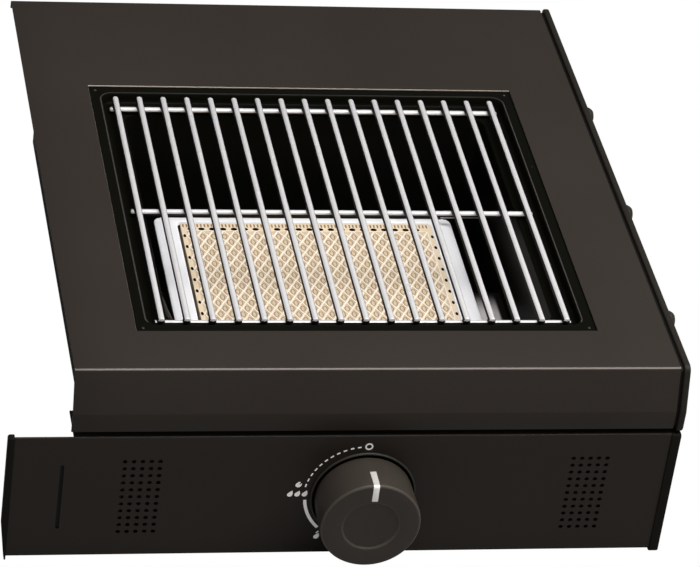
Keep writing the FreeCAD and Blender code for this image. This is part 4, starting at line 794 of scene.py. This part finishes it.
def make_burner_frame():
    """A raised frame with a crease; each level is a share of the way from its outside to its window."""
    wall, outer_corner, window_corner = 0.8, 6.5, 3.0
    levels = [
        (0.0, -20.0), (0.0, -3.2), (0.02, -2.3), (0.07, -1.7), (0.15, -1.4), (0.36, -0.81), (0.63, -0.06),
        (0.64, -0.04), (0.65, -0.3), (0.66, -0.04), (0.67, 0.0), (0.9, -0.25), (0.97, -0.45), (1.0, -0.85),
        (1.01, -2.6),
    ]
    loops = []
    for share, height in levels:
        corner = outer_corner + (window_corner - outer_corner) * share
        loops.append([(x, y, height) for x, y in rounded_box(*between(BURNER, WINDOW, share), corner, 6)])
    bm = bmesh.new()
    loft(bm, loops)
    thicken(bm, wall, (0, 0, 1))
    outer_low, outer_high = between(BURNER, WINDOW, 0.638)
    inner_low, inner_high = between(BURNER, WINDOW, 0.662)
    # The crease band takes the dotted paint; the skirt and a strip at the rear are painted dark as soot and
    # shade.
    crease_floor, soot_and_shade_height, soot_and_shade_strip = -0.3, -2.0, 3.0
    for face in bm.faces:
        spot = face.calc_center_median()
        at_left = outer_low[0] < spot.x < inner_low[0]
        at_right = inner_high[0] < spot.x < outer_high[0]
        if (at_left or at_right) and spot.z > crease_floor:
            face.material_index = 1
        elif spot.z < soot_and_shade_height or spot.y > BURNER[1][1] - soot_and_shade_strip:
            face.material_index = 2
    finishes = [paints["burner_steel"], crease_dots, soot_and_painted_shade]
    finish_piece("burner_rails", bm, finishes, "chassis", ["burner_frame"], 50)


TILE_TOP = -1.0
FIELD_LOW, FIELD_HIGH = (99.1, -86.0), (257.0, 25.4)
CELL_ACROSS, CELL_ALONG = 3.5, 6.05


def clipped(outline, low, high):
    """The part of a convex outline inside a rectangle."""
    for axis in (0, 1):
        for limit, way in ((low[axis], 1), (high[axis], -1)):
            kept = []
            for spot, following in zip(outline, outline[1:] + outline[:1]):
                here, there = (way * (end[axis] - limit) for end in (spot, following))
                if here >= 0:
                    kept.append(spot)
                if here * there < 0:
                    share = here / (here - there)
                    kept.append(tuple(a + (b - a) * share for a, b in zip(spot, following)))
            outline = kept
    return outline


def make_lattice(bm):
    """Sunk rhombi between pale ridges. Returns the middle of each whole one."""
    columns = math.ceil((FIELD_HIGH[0] - FIELD_LOW[0]) / CELL_ACROSS) + 1
    lines = math.ceil((FIELD_HIGH[1] - FIELD_LOW[1]) / CELL_ALONG) + 1
    cells, middles = [], []
    for line in range(lines):
        for column in range(line % 2, columns, 2):
            x, y = FIELD_LOW[0] + CELL_ACROSS * column, FIELD_HIGH[1] - CELL_ALONG * line
            corners = [(x - CELL_ACROSS, y), (x, y - CELL_ALONG), (x + CELL_ACROSS, y), (x, y + CELL_ALONG)]
            outline = clipped(corners, FIELD_LOW, FIELD_HIGH)
            if len(outline) < 3:
                continue
            cells.append(bm.faces.new([bm.verts.new((a, b, TILE_TOP)) for a, b in outline]))
            if outline == corners:
                middles.append((x, y))
    bmesh.ops.remove_doubles(bm, verts=bm.verts[:], dist=0.01)
    bmesh.ops.inset_individual(bm, faces=cells, thickness=0.52, depth=0.0)
    bmesh.ops.inset_individual(bm, faces=cells, thickness=0.4, depth=-0.5)
    return middles


def make_rings(bm, middles):
    """A raised oval ring in each whole rhombus."""
    floor = TILE_TOP - 0.48
    rings = []
    for middle in middles:
        outline = disc(middle, 1.6, 12, 1.85)
        rings.append(bm.faces.new([bm.verts.new((x, y, floor)) for x, y in outline]))
    for thickness, depth in ((0.12, 0.2), (0.5, 0.0), (0.12, -0.15)):
        for face in bmesh.ops.inset_individual(bm, faces=rings, thickness=thickness, depth=depth)["faces"]:
            face.material_index = 2
    bmesh.ops.delete(bm, geom=rings, context="FACES")


def make_border(bm):
    """The slab round the lattice, with holes at the rear and on both sides that are painted dark inside as
    shade.
    """
    slab_depth, hole_depth = 10.0, 1.5
    (x0, y0), (x1, y1) = FIELD_LOW, FIELD_HIGH
    slab = rounded_box((96.5, -88.5), (260.3, 33.4), 2.5, 5)
    holes = [disc((x0 + CELL_ACROSS * (2 * step + 1), y1 + 1.6), 2.1, 12, 0.75) for step in range(22)]
    for x in (97.9, 258.9):
        holes += [disc((x, y1 - CELL_ALONG * (2 * step + 1)), 0.95, 10, 1.9) for step in range(9)]
    before = set(bm.faces)
    field = [(x0, y0), (x1, y0), (x1, y1), (x0, y1)]
    border, inner = holed(bm, "Z", TILE_TOP, slab, [field] + holes)
    paint_new(bm, before, 3)
    drawn_on(bm, border, (0, 0, -slab_depth))
    # The holes are painted dark inside as shade.
    before = set(bm.faces)
    for edges in inner[1:]:
        bmesh.ops.contextual_create(bm, geom=drawn_on(bm, edges, (0, 0, -hole_depth)))
    paint_new(bm, before, 1)


def make_ticks(bm):
    """A row of short ribs along the rear border."""
    half, front, rear = 0.5, 29.0, 32.4
    before = set(bm.faces)
    for step in range(70):
        x = 98.2 + 2.3 * step
        outline = rounded_box((x - half, front), (x + half, rear), 0.3, 2)
        prism(bm, outline, "Z", TILE_TOP - 0.1, TILE_TOP + 0.2, 0.1)
    paint_new(bm, before, 2)


def make_tile():
    bm = bmesh.new()
    middles = make_lattice(bm)
    make_rings(bm, middles)
    make_border(bm)
    make_ticks(bm)
    finishes = [paints["tile_ceramic"], tile_hole_painted_shade, tile_ring, tile_border]
    finish_piece("tile_lattice", bm, finishes, "chassis", ["ceramic_tile"], 30)


make_deck()
make_end_panel()
make_end_shade_sheet()
make_end_screws()
make_panel()
make_left_cap()
make_right_cap()
make_knob()
make_pointer()
make_bezel()
make_dial()
make_pan()
make_rivets()
make_bars()
make_rods()
make_burner_frame()
make_tile()


# Every CAD node that is still shown takes the finish of its slot, or near the flame one painted dark as soot
# and shade

SOOT_AND_SHADE = {
    "burner_bracket_left": soot_and_shade_zinc,
    "burner_bracket_right": soot_and_shade_zinc,
    "burner_screws": soot_and_painted_shade,
    "thermocouple": rim_painted_highlight_and_dull_metal,
}
for row in frame["record"]["subparts"]:
    name = row["node"]
    shown = nodes[name]
    shown.data.materials.clear()
    shown.data.materials.append(SOOT_AND_SHADE.get(name, paints[row["material_slot"]]))


# Floor, light and camera

def make_stage():
    bm = bmesh.new()
    bmesh.ops.create_grid(bm, x_segments=2, y_segments=2, size=4.0)
    mesh = bpy.data.meshes.new("floor")
    bm.to_mesh(mesh)
    bm.free()
    floor = bpy.data.objects.new("floor", mesh)
    floor.location = (0, 0, cad_box[0].z)
    bpy.context.scene.collection.objects.link(floor)
    paint = Paint("floor_paint")
    grain = paint.noise(40, 2)
    pale = paint.mix(grain, linear(150, 150, 150), linear(156, 156, 156))
    matt = paint.node("BsdfPrincipled", {}, {"Base Color": pale, "Roughness": 0.9})
    white = paint.node("Emission", {}, {"Color": (1, 1, 1, 1), "Strength": 1.0})
    seen = paint.node("LightPath")
    both = paint.node("MixShader", {}, {0: seen, 1: matt, 2: white})
    paint.node("OutputMaterial", {}, {"Surface": both})
    floor.data.materials.append(paint.material)


def make_world():
    world = bpy.data.worlds.new("world")
    world.use_nodes = True
    tree = world.node_tree
    tree.nodes.clear()
    seen = tree.nodes.new("ShaderNodeLightPath")
    dim = tree.nodes.new("ShaderNodeBackground")
    dim.inputs["Color"].default_value = (0.1, 0.1, 0.1, 1)
    white = tree.nodes.new("ShaderNodeBackground")
    white.inputs["Color"].default_value = (1, 1, 1, 1)
    both = tree.nodes.new("ShaderNodeMixShader")
    tree.links.new(seen.outputs["Is Camera Ray"], both.inputs[0])
    tree.links.new(dim.outputs[0], both.inputs[1])
    tree.links.new(white.outputs[0], both.inputs[2])
    out = tree.nodes.new("ShaderNodeOutputWorld")
    tree.links.new(both.outputs[0], out.inputs["Surface"])
    bpy.context.scene.world = world


def make_light(name, place, target, size, power):
    data = bpy.data.lights.new(name, "AREA")
    data.shape = "RECTANGLE"
    data.size, data.size_y = size
    data.energy = power
    lamp = bpy.data.objects.new(name, data)
    lamp.location = place
    lamp.rotation_euler = (Vector(target) - Vector(place)).to_track_quat("-Z", "Y").to_euler()
    bpy.context.scene.collection.objects.link(lamp)


def make_camera():
    yaw, pitch, roll = (math.radians(value) for value in (14.089, 34.359, -8.188))
    ahead = Vector((math.sin(yaw) * math.cos(pitch), math.cos(yaw) * math.cos(pitch), -math.sin(pitch)))
    across = Vector((math.cos(yaw), -math.sin(yaw), 0.0))
    down = ahead.cross(across)
    side = across * math.cos(roll) + down * math.sin(roll)
    below = down * math.cos(roll) - across * math.sin(roll)
    data = bpy.data.cameras.new("camera")
    data.sensor_width = 36.0
    data.lens = 189.6
    camera = bpy.data.objects.new("camera", data)
    turn = Matrix((side, -below, -ahead)).transposed().to_4x4()
    camera.matrix_world = Matrix.Translation((-0.29123, -1.88719, 1.30607)) @ turn
    bpy.context.scene.collection.objects.link(camera)
    bpy.context.scene.camera = camera


make_stage()
make_world()
make_light("key", (1.0, -0.35, 1.5), (0.15, -0.03, 0.03), (1.3, 1.3), 33.0)
make_light("top", (0.15, -0.35, 1.65), (0.15, -0.1, 0.03), (1.0, 0.6), 24.0)
make_light("fill", (-0.4, -2.0, 0.8), (0.15, -0.1, 0.0), (1.0, 0.8), 4.2)
make_camera()
bpy.context.scene.view_settings.view_transform = "Standard"
